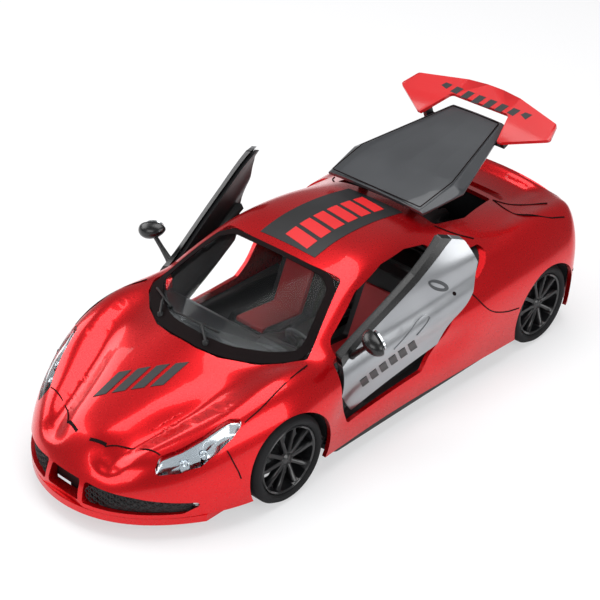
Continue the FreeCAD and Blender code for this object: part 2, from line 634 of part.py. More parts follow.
def wipers():
    return Part.makeCompound([wiper((45.2, 6.0), (42.2, 1.5), (41.5, -9.5), (41.2, 7.0)),
                              wiper((43.2, -14.0), (39.6, -17.0), (34.8, -24.4), (40.4, -12.4))])


BOWL_DEPTH = 3.2


def headlamp_bowl():
    """Chromed tray under the lamp cover."""
    floor_level = level(WALL + BOWL_DEPTH)
    outer = LINING.cut(floor_level).common(from_above(LAMP, 0.5))
    return outer.cut(from_above(LAMP, -0.5).common(LINING).cut(level(WALL + BOWL_DEPTH - 0.8)))


def headlamp_lens():
    layer = level(0.1).cut(level(1.0))
    return layer.common(from_above(LAMP, -SEAT_GAP))


def headlamp_projectors():
    """Two lamp units in each bowl, standing on its floor."""
    units = []
    room = level(WALL + 0.3).cut(level(WALL + BOWL_DEPTH - 0.8))
    for x, y, r in ((73.0, 26.8, 1.3), (68.4, 29.1, 0.9)):
        top = surface_z(x, y, -1.9)
        unit = rod((x, y, top - 7.0), (x, y, top), r).cut(rod((x, y, top - 0.7), (x, y, top + 1), r * 0.6))
        units.append(unit.common(room))
    return Part.makeCompound(units + [mirror(u) for u in units])


# ---- tail ----------------------------------------------------------------------------------------------
TAIL_X = TAIL_FLAT - NOSE


def rear_panel():
    """Black panel with slats between the tail lamps."""
    back = TAIL_X + 1.5 * WALL + SEAT_GAP
    face = from_front(TAIL_PANEL, TAIL_X + 0.3, back + 0.5, -SEAT_GAP, 1.5)
    flange = from_front(TAIL_PANEL, back, back + 1.2, 1.5, 1.5)
    slats = [box(TAIL_X, TAIL_X + 0.9, -17 * WIDTH_SCALE, 17 * WIDTH_SCALE, z, z + 0.7) for z in (29.0, 30.5, 32.0)]
    return fuse(face, flange).cut(slats)


def tail_lamp():
    """Round clear red lamp with a stepped rim, let into the tail."""
    y, z, r = TAIL_LAMP
    y *= WIDTH_SCALE
    lamp = fuse(rod((TAIL_X + 0.4, y, z), (TAIL_X + 4.6, y, z), r - SEAT_GAP),
                rod((TAIL_X - 0.2, y, z), (TAIL_X + 0.6, y, z), r * 0.45))
    ring = rod((TAIL_X + 0.2, y, z), (TAIL_X + 1.0, y, z), r * 0.8).cut(
        rod((TAIL_X + 0.2, y, z), (TAIL_X + 1.0, y, z), r * 0.62))
    return fuse(lamp, ring)


def tail_pipe():
    y, z, r = EXHAUST
    y *= WIDTH_SCALE
    tube = rod((TAIL_X - 2.6, y, z), (TAIL_X + 6.0, y, z), r - 0.1)
    return tube.cut(rod((TAIL_X - 3, y, z), (TAIL_X + 4.5, y, z), r - 0.6))


def rear_diffuser():
    """Black diffuser under the tail, with fins and sockets for the tail pipes."""
    half, top = DIFFUSER_HALF * WIDTH_SCALE - SEAT_GAP, DIFFUSER_TOP - SEAT_GAP
    side = [(TAIL_X - 1.0, top), (TAIL_X + 6.5, top), (TAIL_X + 6.5, PAN_TOP + SEAT_GAP),
            (TAIL_X + 0.5, PAN_TOP + SEAT_GAP), (-NOSE, 9.2), (-NOSE, 10.4)]
    block = prism(side, "y", -half, half, 0.4)
    tray = prism([(-NOSE - 1, 9.6), (TAIL_X + 4.8, 8.4), (TAIL_X + 4.8, top - 1.2), (-NOSE - 1, top - 1.8)], "y",
                 -half + 1.2, half - 1.2, 0.3)
    fins = []
    for k in (-2, -1, 0, 1, 2):
        y = k * 8.0 * WIDTH_SCALE
        fins.append(prism([(TAIL_X + 5.5, 8.0), (TAIL_X + 5.5, top - 1.0), (TAIL_X - 0.6, top - 1.0),
                           (TAIL_X - 2.6, 9.6)], "y", y - 0.5, y + 0.5, 0.3))
    sockets = []
    for x, y in SCREWS[1:]:
        for sign in (1, -1):
            sockets.append(rod((x, sign * y, 0), (x, sign * y, 30), 3.2))
    return fuse(block.cut(tray), *fins).cut(sockets)


# ---- engine bay ----------------------------------------------------------------------------------------
def engine_tray():
    """Black moulding that lines the engine bay, on four legs from the floor pan."""
    raw = box(-71.5, -31.2, -24.5, 24.5, 24.0, 60).common(TRIM)
    raw = raw.cut([box(-70.3, -32.4, -23.3, 23.3, 25.4, 60), box(-33.0, -30.0, -40, 40, 38.0, 60)])
    legs = [box(x - 2, x + 2, y - 1.5, y + 1.5, PAN_TOP, 24.5) for x in (-36.0, -54.0) for y in (-18.0, 18.0)]
    ribs = [box(-70.3, -32.4, s * 21.4 - 0.5, s * 21.4 + 0.5, 25.0, 33.0) for s in (1, -1)]
    return fuse(raw, *legs, *ribs)


def engine():
    """V8 dummy: block, two cam covers, intake plenum and runners."""
    block = prism([(-13.5, 25.45), (-13.5, 28.0), (-6.0, 31.0), (6.0, 31.0), (13.5, 28.0), (13.5, 25.45)], "x",
                  -61.0, -38.0, 0.5)
    plenum = box(-58.5, -40.5, -4.2, 4.2, 30.5, 34.6)
    covers = [prism([(s * 6.2, 30.4), (s * 7.4, 32.6), (s * 12.8, 30.6), (s * 12.4, 28.0)], "x", -60.0, -39.0, 0.6)
              for s in (1, -1)]
    runners = [rod((x, -9.4, 31.2), (x, 9.4, 31.2), 1.1) for x in (-56.0, -52.0, -48.0, -44.0)]
    caps = [rod((-61.6, y, 32.0), (-58.0, y, 32.0), 1.8) for y in (-2.2, 2.2)]
    return fuse(block, plenum, *covers, *runners, *caps)


def side_intake():
    """Black insert behind the triangular side opening."""
    layer = LINING.cut(level(WALL + 1.4))
    return layer.common(through_side(INTAKE, 1.0, radius=0.8)).common(box(-60, -29.0, 25.0, 60, 20, 60))


# ---- doors, as shut; build() swings them open ----------------------------------------------------------
def lowered(points, drop):
    return [(x, z - drop) for x, z in points]


def belt_band(drop):
    """Region of the door between its belt line and the same line lowered by drop."""
    low = lowered(BELT, drop)
    ends = ((40.0, low[0][1] - 1.2), (-40.0, low[-1][1] + 4.0))
    return prism([ends[0]] + low + [ends[1], (-40.0, 60.0), (40.0, 60.0)], "y", 18 * WIDTH_SCALE, 60 * WIDTH_SCALE,
                 [0.2] + [1.0] * len(BELT) + [0.2, 0.2, 0.2])


def door_plate(outer_level, inner_level, grow):
    outline = [(DOOR[0][0] - HINGE_RELIEF, DOOR[0][1])] + DOOR[1:]
    return outer_level.cut(inner_level).common(through_side(outline, grow))


def door_skin():
    """Silver outer panel below the black strip."""
    plate = door_plate(OUTER, UNDER, -GAP).cut(belt_band(BELT_DEPTH + SEAT_GAP))
    return max(plate.Solids, key=lambda s: s.Volume)


def door_trim():
    """Black strip along the belt line."""
    plate = door_plate(OUTER, UNDER, -GAP).common(belt_band(BELT_DEPTH))
    return max(plate.Solids, key=lambda s: s.Volume)


def door_inner():
    """Black lining with a pocket and an armrest, and the arm that turns on the hinge pin."""
    lining = door_plate(LINING, level(WALL + 1.3), -1.3)
    lining = max(lining.Solids, key=lambda s: s.Volume)
    rest = box(-14.0, 6.0, 31.2, 36.8, 25.0, 27.0).common(LINING)
    knuckle = rod(along_door_pin(-1.5), along_door_pin(0.8), PIN_R + 0.8)
    x, y, z = along_door_pin(-0.4)
    arm = fuse(box(x - 7.0, x, y - 1.2, y + 1.0, z - 1.3, z + 1.0),
               box(x - 7.0, x - 4.0, y - 1.2, y + 6.0, z - 1.3, z + 1.0)).common(LINING)
    bore = rod(along_door_pin(-4), along_door_pin(4), PIN_R + PIN_CLEARANCE)
    return fuse(lining, rest, arm, knuckle).cut(bore)


def door_pin():
    return rod(along_door_pin(-1.4), along_door_pin(2.9), PIN_R)


MIRROR = (14.2, 39.8, 39.6)             # middle of the left mirror head, door shut
MIRROR_W, MIRROR_H = 3.7, 2.3           # half width and half height of the mirror head


def mirror_oval(x, share):
    """An upright oval across the mirror head, x ahead of its middle."""
    oval = Part.Ellipse(V(x, 0, 0), MIRROR_W * share, MIRROR_H * share).toShape()
    oval.rotate(V(x, 0, 0), V(0, 0, 1), 90)
    oval.rotate(V(x, 0, 0), V(0, 1, 0), 90)
    return Part.Wire([oval])


def place_mirror(shape):
    shape.rotate(V(0, 0, 0), V(0, 0, 1), -12)
    shape.translate(V(*MIRROR))
    return shape


def mirror_front():
    """Black mirror housing on its stalk."""
    x, y, z = MIRROR
    ovals = [mirror_oval(*pair) for pair in ((-1.0, 1.0), (0.4, 0.98), (1.8, 0.8), (2.8, 0.42))]
    foot = (18.6, 35.0 * WIDTH_SCALE, 34.6)
    way = V(x + 0.9, y - 0.6, z - 0.6) - V(*foot)
    stalk = Part.makeCone(0.8, 0.6, way.Length, V(*foot), way)
    return fuse(place_mirror(Part.makeLoft(ovals, True)), stalk.cut(OUTER))


def mirror_glass():
    return place_mirror(Part.Face(mirror_oval(-1.6, 0.86)).extrude(V(0.6 - SEAT_GAP, 0, 0)))


# ---- engine lid and wing, as shut ----------------------------------------------------------------------
LID_T = 1.1
LID_STATIONS = [(-31.1, 48.6, 17.6, 18.3, 0.5, 0.8), (-46.0, 46.6, 18.1, 21.3, 1.8, 0.8),
                (-79.2, 39.7, 9.4, 10.6, 0.7, 0.3)]     # x, crease z, crease y, edge y, edge drop, crown


def lid_section(station, grow=0.0):
    x, z, crease, edge, drop, crown_h = station
    top = [(0, z + crown_h), (crease * 0.55, z + crown_h * 0.7), (crease, z), (edge, z - drop)]
    top = [(y, h + grow) for y, h in top]
    low = [(y * (1 - 0.02), h - LID_T) for y, h in top]
    right = [V(x, -y, h) for y, h in top[:0:-1]]
    under = [V(x, y, h) for y, h in low[::-1]]
    under_right = [V(x, -y, h) for y, h in low[1:]]
    return Part.makePolygon(right + [V(x, y, h) for y, h in top] + under + under_right + right[:1])


def lid_panel():
    """Grey faceted cover with bevelled flanks."""
    return Part.makeLoft([lid_section(s) for s in LID_STATIONS], True, True)


def lid_height(x):
    (x0, z0), (x1, z1), (x2, z2) = [s[:2] for s in LID_STATIONS]
    return z0 + (z1 - z0) * (x - x0) / (x1 - x0) if x > x1 else z1 + (z2 - z1) * (x - x1) / (x2 - x1)


def lid_bar(inset, front, back, grow=0.0):
    """Flat loft under the lid panel, inset from the edge of the bay opening."""
    wires = []
    for x, half in ((front, 19.0), (-48.0, 19.8), (back, 14.6)):
        y, z = half - inset, lid_height(x) - LID_T - 0.35
        wires.append(Part.makePolygon([V(x, -y, z + grow), V(x, y, z + grow), V(x, y, z - 1.6 - grow),
                                       V(x, -y, z - 1.6 - grow), V(x, -y, z + grow)]))
    return Part.makeLoft(wires, True, True)


def lid_frame():
    """Black frame under the lid, with two swan-neck arms that reach under the roof to the hinge pins."""
    ring = lid_bar(2.0, -35.8, -66.0).cut(lid_bar(4.4, -38.6, -63.4, 1.0))
    x, z = LID_PIVOT
    neck = [(x + 0.6, z + 1.1), (x - 1.4, z + 0.2), (-29.6, 41.8), (-33.9, 40.9), (-35.2, 42.4), (-35.9, 45.6),
            (-38.4, 45.4), (-37.6, 41.4), (-35.0, 38.9), (-28.8, 39.9), (x + 0.6, z - 1.3)]
    y0, y1 = LID_ARM_Y - LID_ARM_W / 2, LID_ARM_Y + LID_ARM_W / 2
    arm = fuse(prism(neck, "y", y0, y1, 0.5), rod((x, y0, z), (x, y1, z), PIN_R + 0.8))
    bore = rod((x, -20, z), (x, 20, z), PIN_R + PIN_CLEARANCE)
    return fuse(ring, arm, mirror(arm)).cut(bore)


def lid_pin():
    x, z = LID_PIVOT
    return rod((x, LID_ARM_Y - LID_ARM_W / 2 - 1.8, z), (x, LID_ARM_Y + LID_ARM_W / 2 + 1.8, z), PIN_R)


WING_Z, WING_T = 41.3, 1.1
def wing():
    """Painted wing plate, notched round the lid's tail."""
    notch = prism(wide((-60.0, 17.4), (-80.4, 10.6)), "z", 30, 60, 0.8, 0.7)
    outline = wide((-70.0, 16.2), (-77.6, 28.9), (-84.1, 26.8), (-88.6, 10.0), (-89.4, 3.0))
    return prism(outline, "z", WING_Z, WING_Z + WING_T, 1.2).cut(notch)


BRACKET_X = (-74.6, -71.6)
BRACKET_Y = 15.6                        # half the bracket's length
BRACKET_Z = 38.0
BRACKET_T = 0.6


def wing_bracket():
    """Black bracket that runs under the lid's tail and holds the wing."""
    bar = box(*BRACKET_X, -BRACKET_Y, BRACKET_Y, BRACKET_Z, BRACKET_Z + BRACKET_T)
    strut = box(*BRACKET_X, BRACKET_Y - 1.4, BRACKET_Y, BRACKET_Z, WING_Z)
    return fuse(bar, strut, mirror(strut))


def bracket_rebate():
    """Shallow rebate in the deck that the bracket drops into when the lid is shut."""
    low, high = BRACKET_X
    return box(low - GAP, high + GAP, -BRACKET_Y - GAP, BRACKET_Y + GAP, BRACKET_Z - GAP, ROOF_HEIGHT)


# ---- build ---------------------------------------------------------------------------------------------
def door_open(shape):
    return turn(shape, DOOR_PIVOT, DOOR_AXIS, DOOR_OPEN)


def lid_open(shape):
    return turn(shape, (LID_PIVOT[0], 0, LID_PIVOT[1]), (0, 1, 0), LID_OPEN)


def build():
    nodes = {
        "body_shell": body_shell(), "floor_pan": floor_pan(), "chassis_screws": chassis_screws(),
        "front_lip": front_lip(), "front_grille": front_grille(), "windscreen": windscreen(), "cowl": cowl(),
        "wipers": wipers(), "headlamp_projectors": headlamp_projectors(), "rear_panel": rear_panel(),
        "tail_lamps": both(tail_lamp()), "tail_pipes": both(tail_pipe()), "rear_diffuser": rear_diffuser(),
        "engine_tray": engine_tray(), "engine": engine(), "side_intakes": both(side_intake()),
        "interior_tub": interior_tub(), "dashboard": dashboard(), "steering_wheel": steering_wheel(),
        "centre_console": centre_console(), "door_hinge_pins": both(door_pin()), "lid_hinge_pins": both(lid_pin()),
    }
    liners = []
    for end, x, face, width in (("front", FRONT_AXLE_X, WHEEL_FACE_Y, FRONT_TYRE_W),
                                ("rear", REAR_AXLE_X, WHEEL_FACE_Y + REAR_FACE_EXTRA, REAR_TYRE_W)):
        nodes["axle_carrier_" + end] = axle_carrier(x)
        nodes["brakes_" + end] = both(brake(x, face - 7.0))
        nodes["axle_" + end] = axle(x, face)
        for name, piece in (("tyre", tyre(x, face, width)), ("rim", rim(x, face, width))):
            nodes[name + "_" + end + "_left"] = piece
            nodes[name + "_" + end + "_right"] = mirror(piece)
        liners += [arch_liner(x), mirror(arch_liner(x))]
    nodes["arch_liners"] = Part.makeCompound(liners)
    for name, piece in (("headlamp_bowl", headlamp_bowl()), ("headlamp_lens", headlamp_lens()),
                        ("seat", seat_left()), ("seat_pad", seat_pad_left()),
                        ("door_skin", door_open(door_skin())), ("door_trim", door_open(door_trim())),
                        ("door_inner", door_open(door_inner())), ("mirror_housing", door_open(mirror_front())),
                        ("mirror_glass", door_open(mirror_glass()))):
        nodes[name + "_left"] = piece
        nodes[name + "_right"] = mirror(piece)
    for name, piece in (("lid_panel", lid_panel()), ("lid_frame", lid_frame()), ("wing", wing()),
                        ("wing_bracket", wing_bracket())):
        nodes[name] = lid_open(piece)
    return nodes


os.makedirs("parts", exist_ok=True)
for node, solid in build().items():
    solid.exportStep("parts/" + node + ".step")
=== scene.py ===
# %% [markdown]
# # A 1:24 die-cast sports car, doors and engine lid open
# The model on the shelf is a painted zinc casting with plastic trim, rubber tyres and clear lamp covers.
# The moving frame comes from the construction model, so every piece lands where its neighbours expect it.
# What is added here is the outside: smooth paint, printed bars, shut lines, handles, mirror heads,
# wheel nuts and grille mesh.

# %% Load the frame
import json
import math
import bmesh
import bpy
import numpy as np
from mathutils import Matrix, Vector


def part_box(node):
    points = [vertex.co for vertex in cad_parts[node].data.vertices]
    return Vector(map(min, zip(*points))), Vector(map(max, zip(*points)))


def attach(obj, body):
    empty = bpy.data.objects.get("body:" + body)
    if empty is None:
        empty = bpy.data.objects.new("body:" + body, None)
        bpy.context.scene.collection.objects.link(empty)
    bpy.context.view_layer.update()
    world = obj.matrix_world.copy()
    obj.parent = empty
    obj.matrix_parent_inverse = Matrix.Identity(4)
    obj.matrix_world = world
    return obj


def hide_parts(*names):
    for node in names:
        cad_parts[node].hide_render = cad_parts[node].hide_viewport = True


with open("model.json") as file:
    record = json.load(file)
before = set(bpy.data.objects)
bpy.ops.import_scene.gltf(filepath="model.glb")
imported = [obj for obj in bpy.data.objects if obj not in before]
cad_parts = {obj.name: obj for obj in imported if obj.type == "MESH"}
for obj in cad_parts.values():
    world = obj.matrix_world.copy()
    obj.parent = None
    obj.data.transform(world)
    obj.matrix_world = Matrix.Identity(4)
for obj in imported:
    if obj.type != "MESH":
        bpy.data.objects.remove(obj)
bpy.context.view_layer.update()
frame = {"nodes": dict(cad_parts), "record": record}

MM = 0.001
slot_of = {part["node"]: part["material_slot"] for part in frame["record"]["subparts"]}
body_of = {node: body for body, nodes in frame["record"]["behaviour"]["bodies"].items() for node in nodes}

# %% [markdown]
# ## The camera
# A long lens from the front left, well above the roof, keeps the car's proportions as a catalogue shows them.
# The camera is turned by its own three axes, because a tracking constraint could not hold the slight roll.

# %% Camera
TARGET = Vector((-6.96, -7.86, 20.0)) * MM
AZIMUTH, ELEVATION, ROLL = math.radians(42.63), math.radians(31.66), math.radians(1.09)
DISTANCE = 500.4 * MM
FOCAL_LENGTH, SENSOR_WIDTH, NEAREST = 101.05, 36.0, 0.01
level_share = math.cos(ELEVATION)
back = Vector((math.cos(AZIMUTH) * level_share, math.sin(AZIMUTH) * level_share, math.sin(ELEVATION)))
right = Vector((-math.sin(AZIMUTH), math.cos(AZIMUTH), 0))
over = back.cross(right)
camera_right = right * math.cos(ROLL) + over * math.sin(ROLL)
camera_up = over * math.cos(ROLL) - right * math.sin(ROLL)
lens = bpy.data.cameras.new("camera")
lens.lens, lens.sensor_width, lens.clip_start = FOCAL_LENGTH, SENSOR_WIDTH, NEAREST
camera = bpy.data.objects.new("camera", lens)
bpy.context.scene.collection.objects.link(camera)
place = Matrix((camera_right, camera_up, back)).transposed().to_4x4()
place.translation = TARGET + back * DISTANCE
camera.matrix_world = place
bpy.context.scene.camera = camera
bpy.context.scene.view_settings.view_transform = "Standard"
print("camera at", [round(v, 3) for v in camera.location])

# %% [markdown]
# ## Colours and nodes
# Paint charts give sRGB hex values, while shaders work in linear light, so one function turns one to the other.
# A second one adds a node with its settings and links; every material below is built with it.

# %% Helpers for materials
DRIFT_MM = 18.0             # width of the slow changes of tone across a surface
GRAIN_RELIEF = 0.02 * MM    # depth of the grain


def linear(hex_text):
    """A colour as written on a paint chart, in linear light."""
    parts = [int(hex_text[i:i + 2], 16) / 255 for i in (1, 3, 5)]
    return [p / 12.92 if p <= 0.04045 else ((p + 0.055) / 1.055) ** 2.4 for p in parts] + [1.0]


def add_node(tree, kind, settings=None, inputs=None):
    """A new node; inputs hold plain values, or output sockets to link from."""
    node = tree.nodes.new(kind)
    for name, value in (settings or {}).items():
        setattr(node, name, value)
    for name, value in (inputs or {}).items():
        if isinstance(value, bpy.types.NodeSocket):
            tree.links.new(value, node.inputs[name])
        else:
            node.inputs[name].default_value = value
    return node


def finish(name, tone, second_tone, grain_mm, bump, rough=(0.3, 0.4), sockets=None):
    """A surface whose tone and roughness drift between two values over grains of a real size."""
    material = bpy.data.materials.new(name)
    material.use_nodes = True
    tree = material.node_tree
    shader = tree.nodes["Principled BSDF"]
    where = add_node(tree, "ShaderNodeTexCoord").outputs["Object"]
    grain = add_node(tree, "ShaderNodeTexNoise", None,
                     {"Vector": where, "Scale": 1 / (grain_mm * MM), "Detail": 3.0})
    drift = add_node(tree, "ShaderNodeTexNoise", None,
                     {"Vector": where, "Scale": 1 / (DRIFT_MM * MM), "Detail": 2.0})
    tones = add_node(tree, "ShaderNodeValToRGB", None, {"Fac": drift.outputs["Fac"]})
    low_stop, high_stop = tones.color_ramp.elements[0], tones.color_ramp.elements[1]
    low_stop.position, high_stop.position = 0.35, 0.65
    low_stop.color, high_stop.color = linear(tone), linear(second_tone)
    shine = add_node(tree, "ShaderNodeMapRange", None,
                     {"Value": grain.outputs["Fac"], "To Min": rough[0], "To Max": rough[1]})
    relief = add_node(tree, "ShaderNodeBump", None,
                      {"Height": grain.outputs["Fac"], "Strength": bump, "Distance": GRAIN_RELIEF})
    tree.links.new(tones.outputs["Color"], shader.inputs["Base Color"])
    tree.links.new(shine.outputs["Result"], shader.inputs["Roughness"])
    tree.links.new(relief.outputs["Normal"], shader.inputs["Normal"])
    for socket, value in (sockets or {}).items():
        shader.inputs[socket].default_value = value
    return material


print("mid grey in linear light", round(linear("#808080")[0], 3))

# %% [markdown]
# ## The finishes
# Candy paint is a clear red lacquer over a silver base: it is dark at the edges and glows where light falls.
# A part-metallic base under a thin clear coat gives both. Moulded trim is black with a fine spark-eroded
# grain, tyres are matt rubber, and the wheel faces are a satin black. The bright parts are vacuum plated.
# The clear sheets are thin, so a low IOR keeps what lies behind them in place.

# %% Materials
finishes = {
    "candy_red_paint": finish("candy_red_over_silver", "#C4000B", "#CC020E", 0.6, 0.0, (0.27, 0.28),
                              {"Metallic": 0.75, "Coat Weight": 0.35, "Coat Roughness": 0.04}),
    "red_plastic": finish("red_lacquered_abs", "#B80A10", "#C00C13", 0.6, 0.02, (0.34, 0.4),
                          {"Coat Weight": 0.25, "Coat Roughness": 0.08}),
    "satin_silver_paint": finish("satin_silver_lacquer", "#8F9194", "#9A9C9F", 0.5, 0.02, (0.26, 0.32),
                                 {"Metallic": 0.95, "Coat Weight": 0.25}),
    "satin_grey_paint": finish("satin_graphite_lacquer", "#3A3C3F", "#424447", 0.5, 0.04, (0.42, 0.5),
                               {"Metallic": 0.35, "Coat Weight": 0.25}),
    "clear_plastic": finish("clear_polystyrene", "#F6FAFC", "#FAFCFD", 4.0, 0.0, (0.02, 0.04),
                            {"Transmission Weight": 1.0, "IOR": 1.12}),
    "clear_red_plastic": finish("red_polystyrene", "#A80A10", "#B30C12", 4.0, 0.0, (0.06, 0.1),
                                {"Transmission Weight": 0.7, "IOR": 1.49}),
    "chrome_plating": finish("vacuum_chrome", "#B4B8BC", "#C2C5C8", 2.0, 0.01, (0.14, 0.2), {"Metallic": 1.0}),
    "steel": finish("bright_zinc_steel", "#A6A8AA", "#B6B8BA", 0.4, 0.05, (0.3, 0.4), {"Metallic": 1.0}),
    "grey_plastic": finish("satin_grey_abs", "#707274", "#7A7C7E", 0.4, 0.08, (0.4, 0.5), {"Metallic": 0.3}),
    "tyre_rubber": finish("matt_tyre_rubber", "#101011", "#18181A", 0.35, 0.3, (0.7, 0.85),
                          {"Specular IOR Level": 0.25}),
    "black_wheel_paint": finish("satin_black_lacquer", "#0D0D0F", "#141416", 0.5, 0.04, (0.26, 0.34),
                                {"Coat Weight": 0.3}),
    "red_seat_plastic": finish("grained_red_pvc", "#8E0C14", "#9E1018", 0.35, 0.5, (0.5, 0.62)),
    "black_plastic": finish("grained_black_abs", "#0E0F10", "#17181A", 0.3, 0.35, (0.42, 0.56),
                            {"Specular IOR Level": 0.4}),
}
# Painted shade for shut lines, bonnet slots and the lid line; also the black print of the windscreen border.
shade_and_print_black = finish("groove_shade_and_black_print", "#0A0304", "#120506", 0.5, 0.0, (0.7, 0.8),
                    {"Specular IOR Level": 0.1})
print_black = finish("printed_black_ink", "#161617", "#1C1C1E", 0.5, 0.03, (0.4, 0.48))
print_red = finish("printed_red_ink", "#C81A1E", "#D02024", 0.5, 0.03, (0.4, 0.48))
gloss_black = finish("semi_gloss_black_abs", "#060607", "#0A0A0B", 0.8, 0.01, (0.24, 0.32))
print("finishes", len(finishes))

# %% [markdown]
# ## The car's master surface
# The whole outside follows one rule: a function that is negative inside the car and positive outside it.
# Its slope gives the true surface direction anywhere, which makes reflections run clean across the paint,
# and a line or print can be laid on the metal by solving for the height where the function is zero.

# %% Master surface
def spline(*pairs):
    """A natural cubic curve through points, straight beyond its ends."""
    xs, ys = (np.array(v, float) for v in zip(*sorted(pairs)))
    n, gap = len(xs), np.diff(xs)
    slope = np.diff(ys) / gap
    rows, rest = np.eye(n), np.zeros(n)
    for i in range(1, n - 1):
        rows[i, i - 1:i + 2] = gap[i - 1], 2 * (gap[i - 1] + gap[i]), gap[i]
        rest[i] = 6 * (slope[i] - slope[i - 1])
    m = np.linalg.solve(rows, rest)

    def value(x):
        x = np.asarray(x, float)
        i = np.clip(np.searchsorted(xs, x) - 1, 0, n - 2)
        p, q, w = x - xs[i], xs[i + 1] - x, gap[i]
        inside = (m[i] * q ** 3 + m[i + 1] * p ** 3) / (6 * w) + (ys[i] / w - m[i] * w / 6) * q
        inside = inside + (ys[i + 1] / w - m[i + 1] * w / 6) * p
        low = ys[0] + (x - xs[0]) * (slope[0] - gap[0] * m[1] / 6)
        high = ys[-1] + (x - xs[-1]) * (slope[-1] + gap[-1] * m[-2] / 6)
        return np.where(x < xs[0], low, np.where(x > xs[-1], high, inside))
    return value


def smax(a, b, k):
    return np.maximum(a, b) + (np.maximum(k - np.abs(a - b), 0) / k) ** 3 * k / 6


def smin(a, b, k):
    return -smax(-a, -b, k)


def bell(x, centre, width):
    return np.exp(-((x - centre) / width) ** 2)


def step(x, low, high):
    t = np.clip((x - low) / (high - low), 0, 1)
    return t ** 3 * (10 - 15 * t + 6 * t * t)


deck_z = spline((93, 12.5), (90, 16.5), (87, 19.8), (84, 22.3), (76, 25.6), (66, 29.0), (56, 32.0),
                (46, 34.2), (34, 35.0), (10, 33.6), (-10, 32.8), (-30, 34.4), (-45, 36.6), (-60, 38.2),
                (-75, 39.2), (-93, 39.9))
crown = spline((93, 3.0), (80, 3.3), (60, 3.2), (45, 3.6), (0, 3.4), (-30, 2.8), (-60, 2.4), (-93, 3.4))
ridge_h = spline((93, -0.5), (76, 0.5), (60, 2.6), (45, 4.0), (28, 3.4), (0, 2.0), (-30, 3.2), (-58, 5.0),
                 (-78, 4.2), (-93, 3.0))
ridge_y = spline((93, 29), (60, 31.2), (45, 32.6), (0, 34.5), (-30, 33.5), (-60, 32.6), (-93, 35.0))
half_width = spline((93, 37), (75, 38.3), (60, 39.6), (45, 40.4), (28, 39.4), (5, 38.6), (-15, 39.0),
                    (-35, 40.0), (-55, 40.9), (-70, 40.9), (-82, 40.0), (-93, 38.8))
roof_z = spline((40, 43.0), (24, 47.0), (8, 49.4), (-6, 50.3), (-18, 49.8), (-32, 47.6), (-46, 45.0),
                (-60, 41.8), (-68, 39.6), (-76, 37.2), (-93, 33.0))
glass_y = spline((46, 26.6), (0, 26.4), (-20, 25.6), (-36, 23.6), (-60, 17.5), (-93, 11))
glass_s = spline((46, 0.62), (0, 0.62), (-14, 0.75), (-28, 1.15), (-44, 1.8), (-93, 2.4))
NOSE = 92.75


def lower_body(x, a, z):
    scoop = step(x, 44, 72) * step(x, 89, 84) * bell(a, 11.2 + (84 - np.maximum(x, 40)) * 0.33, 4.2)
    sink = step(x, -62, -70) * step(x, -88, -82) * step(a, 24, 15)
    top = deck_z(x) - crown(x) * (a / 30) ** 2 + ridge_h(x) * bell(a, ridge_y(x), 7.5)
    top = top - 2.6 * scoop - 1.6 * sink
    lean = 2.4 * (np.maximum(z - 25, 0) / 10) ** 2 + 1.3 * (np.maximum(25 - z, 0) / 18) ** 2
    waist = 1.7 * bell(z, 19.5, 5) * step(x, -38, -10) * step(x, 34, 18)
    nose = NOSE - 0.0150 * a ** 2 - 4.2e-6 * a ** 4 - 0.020 * np.maximum(z - 8, 0) ** 2
    tail = 1.0 - NOSE + 0.0040 * a ** 2 + 2.0e-6 * a ** 4
    shape = smax((z - top) / 1.06, a - half_width(x) + lean + waist, 13)
    return smax(smax(shape, (x - nose) * 0.93, 11), tail - x, 6)


def cabin(x, a, z):
    fall = 0.365 * (1 + 0.62 * (a / 30) ** 2) * (x - 8)
    screen = 48.6 - 0.0028 * a ** 2 - fall + 0.0011 * (x - 8) * (46 - x) * step(x, -5, 12)
    top = (z - smin(screen, roof_z(x) - 0.0030 * a ** 2, 5)) / 1.05
    s = glass_s(x)
    side = (a - (glass_y(x) - s * (z - 44))) / np.sqrt(1 + s * s)
    wall = smax(smax(a - half_width(x) + 5, -88 + 0.0045 * a ** 2 - x, 6), x - 60, 6)
    return smax(smax(top, side, 7), wall, 4)


def car(p):
    """Below 0 inside the car; p holds points in millimetres, doors and lid shut."""
    x, a, z = p[..., 0], np.abs(p[..., 1]), p[..., 2]
    return smin(lower_body(x, a, z), cabin(x, a, z), 4)


def outward(p):
    """The direction straight out of the surface at each point."""
    slope = np.stack([car(p + d) - car(p - d) for d in np.eye(3) * 0.02], -1)
    return slope / np.maximum(np.linalg.norm(slope, axis=-1, keepdims=True), 1e-9)


def settle(start, way, reach):
    """Slides points along a direction until they first meet the surface, coming from outside."""
    start, way = np.broadcast_arrays(np.asarray(start, float), np.asarray(way, float))
    steps = np.linspace(0, reach, 240)
    inside = np.array([car(start + way * t) < 0 for t in steps])
    first = np.clip(inside.argmax(0), 1, None)
    low, high = steps[first - 1], steps[first]
    for _ in range(18):
        middle = (low + high) / 2
        deep = car(start + way * middle[..., None]) < 0
        low, high = np.where(deep, low, middle), np.where(deep, middle, high)
    return start + way * low[..., None]


def from_top(xy):
    xy = np.asarray(xy, float)
    return settle(np.concatenate([xy, np.full(xy.shape[:-1] + (1,), 56.0)], -1), (0, 0, -1.0), 50)


def from_side(xz):
    xz = np.asarray(xz, float)
    return settle(np.stack([xz[..., 0], np.full(xz.shape[:-1], 50.0), xz[..., 1]], -1), (0, -1.0, 0), 45)


print("roof height", round(float(from_top((-6.0, 0.0))[2]), 2), "mm")

# %% [markdown]
# ## Opening the doors and the lid
# Prints on a door are laid on the shut car, where the surface rule holds, then turned with the door.
# The turn is the same one that the hinge makes, so they stay on the panel at every angle.

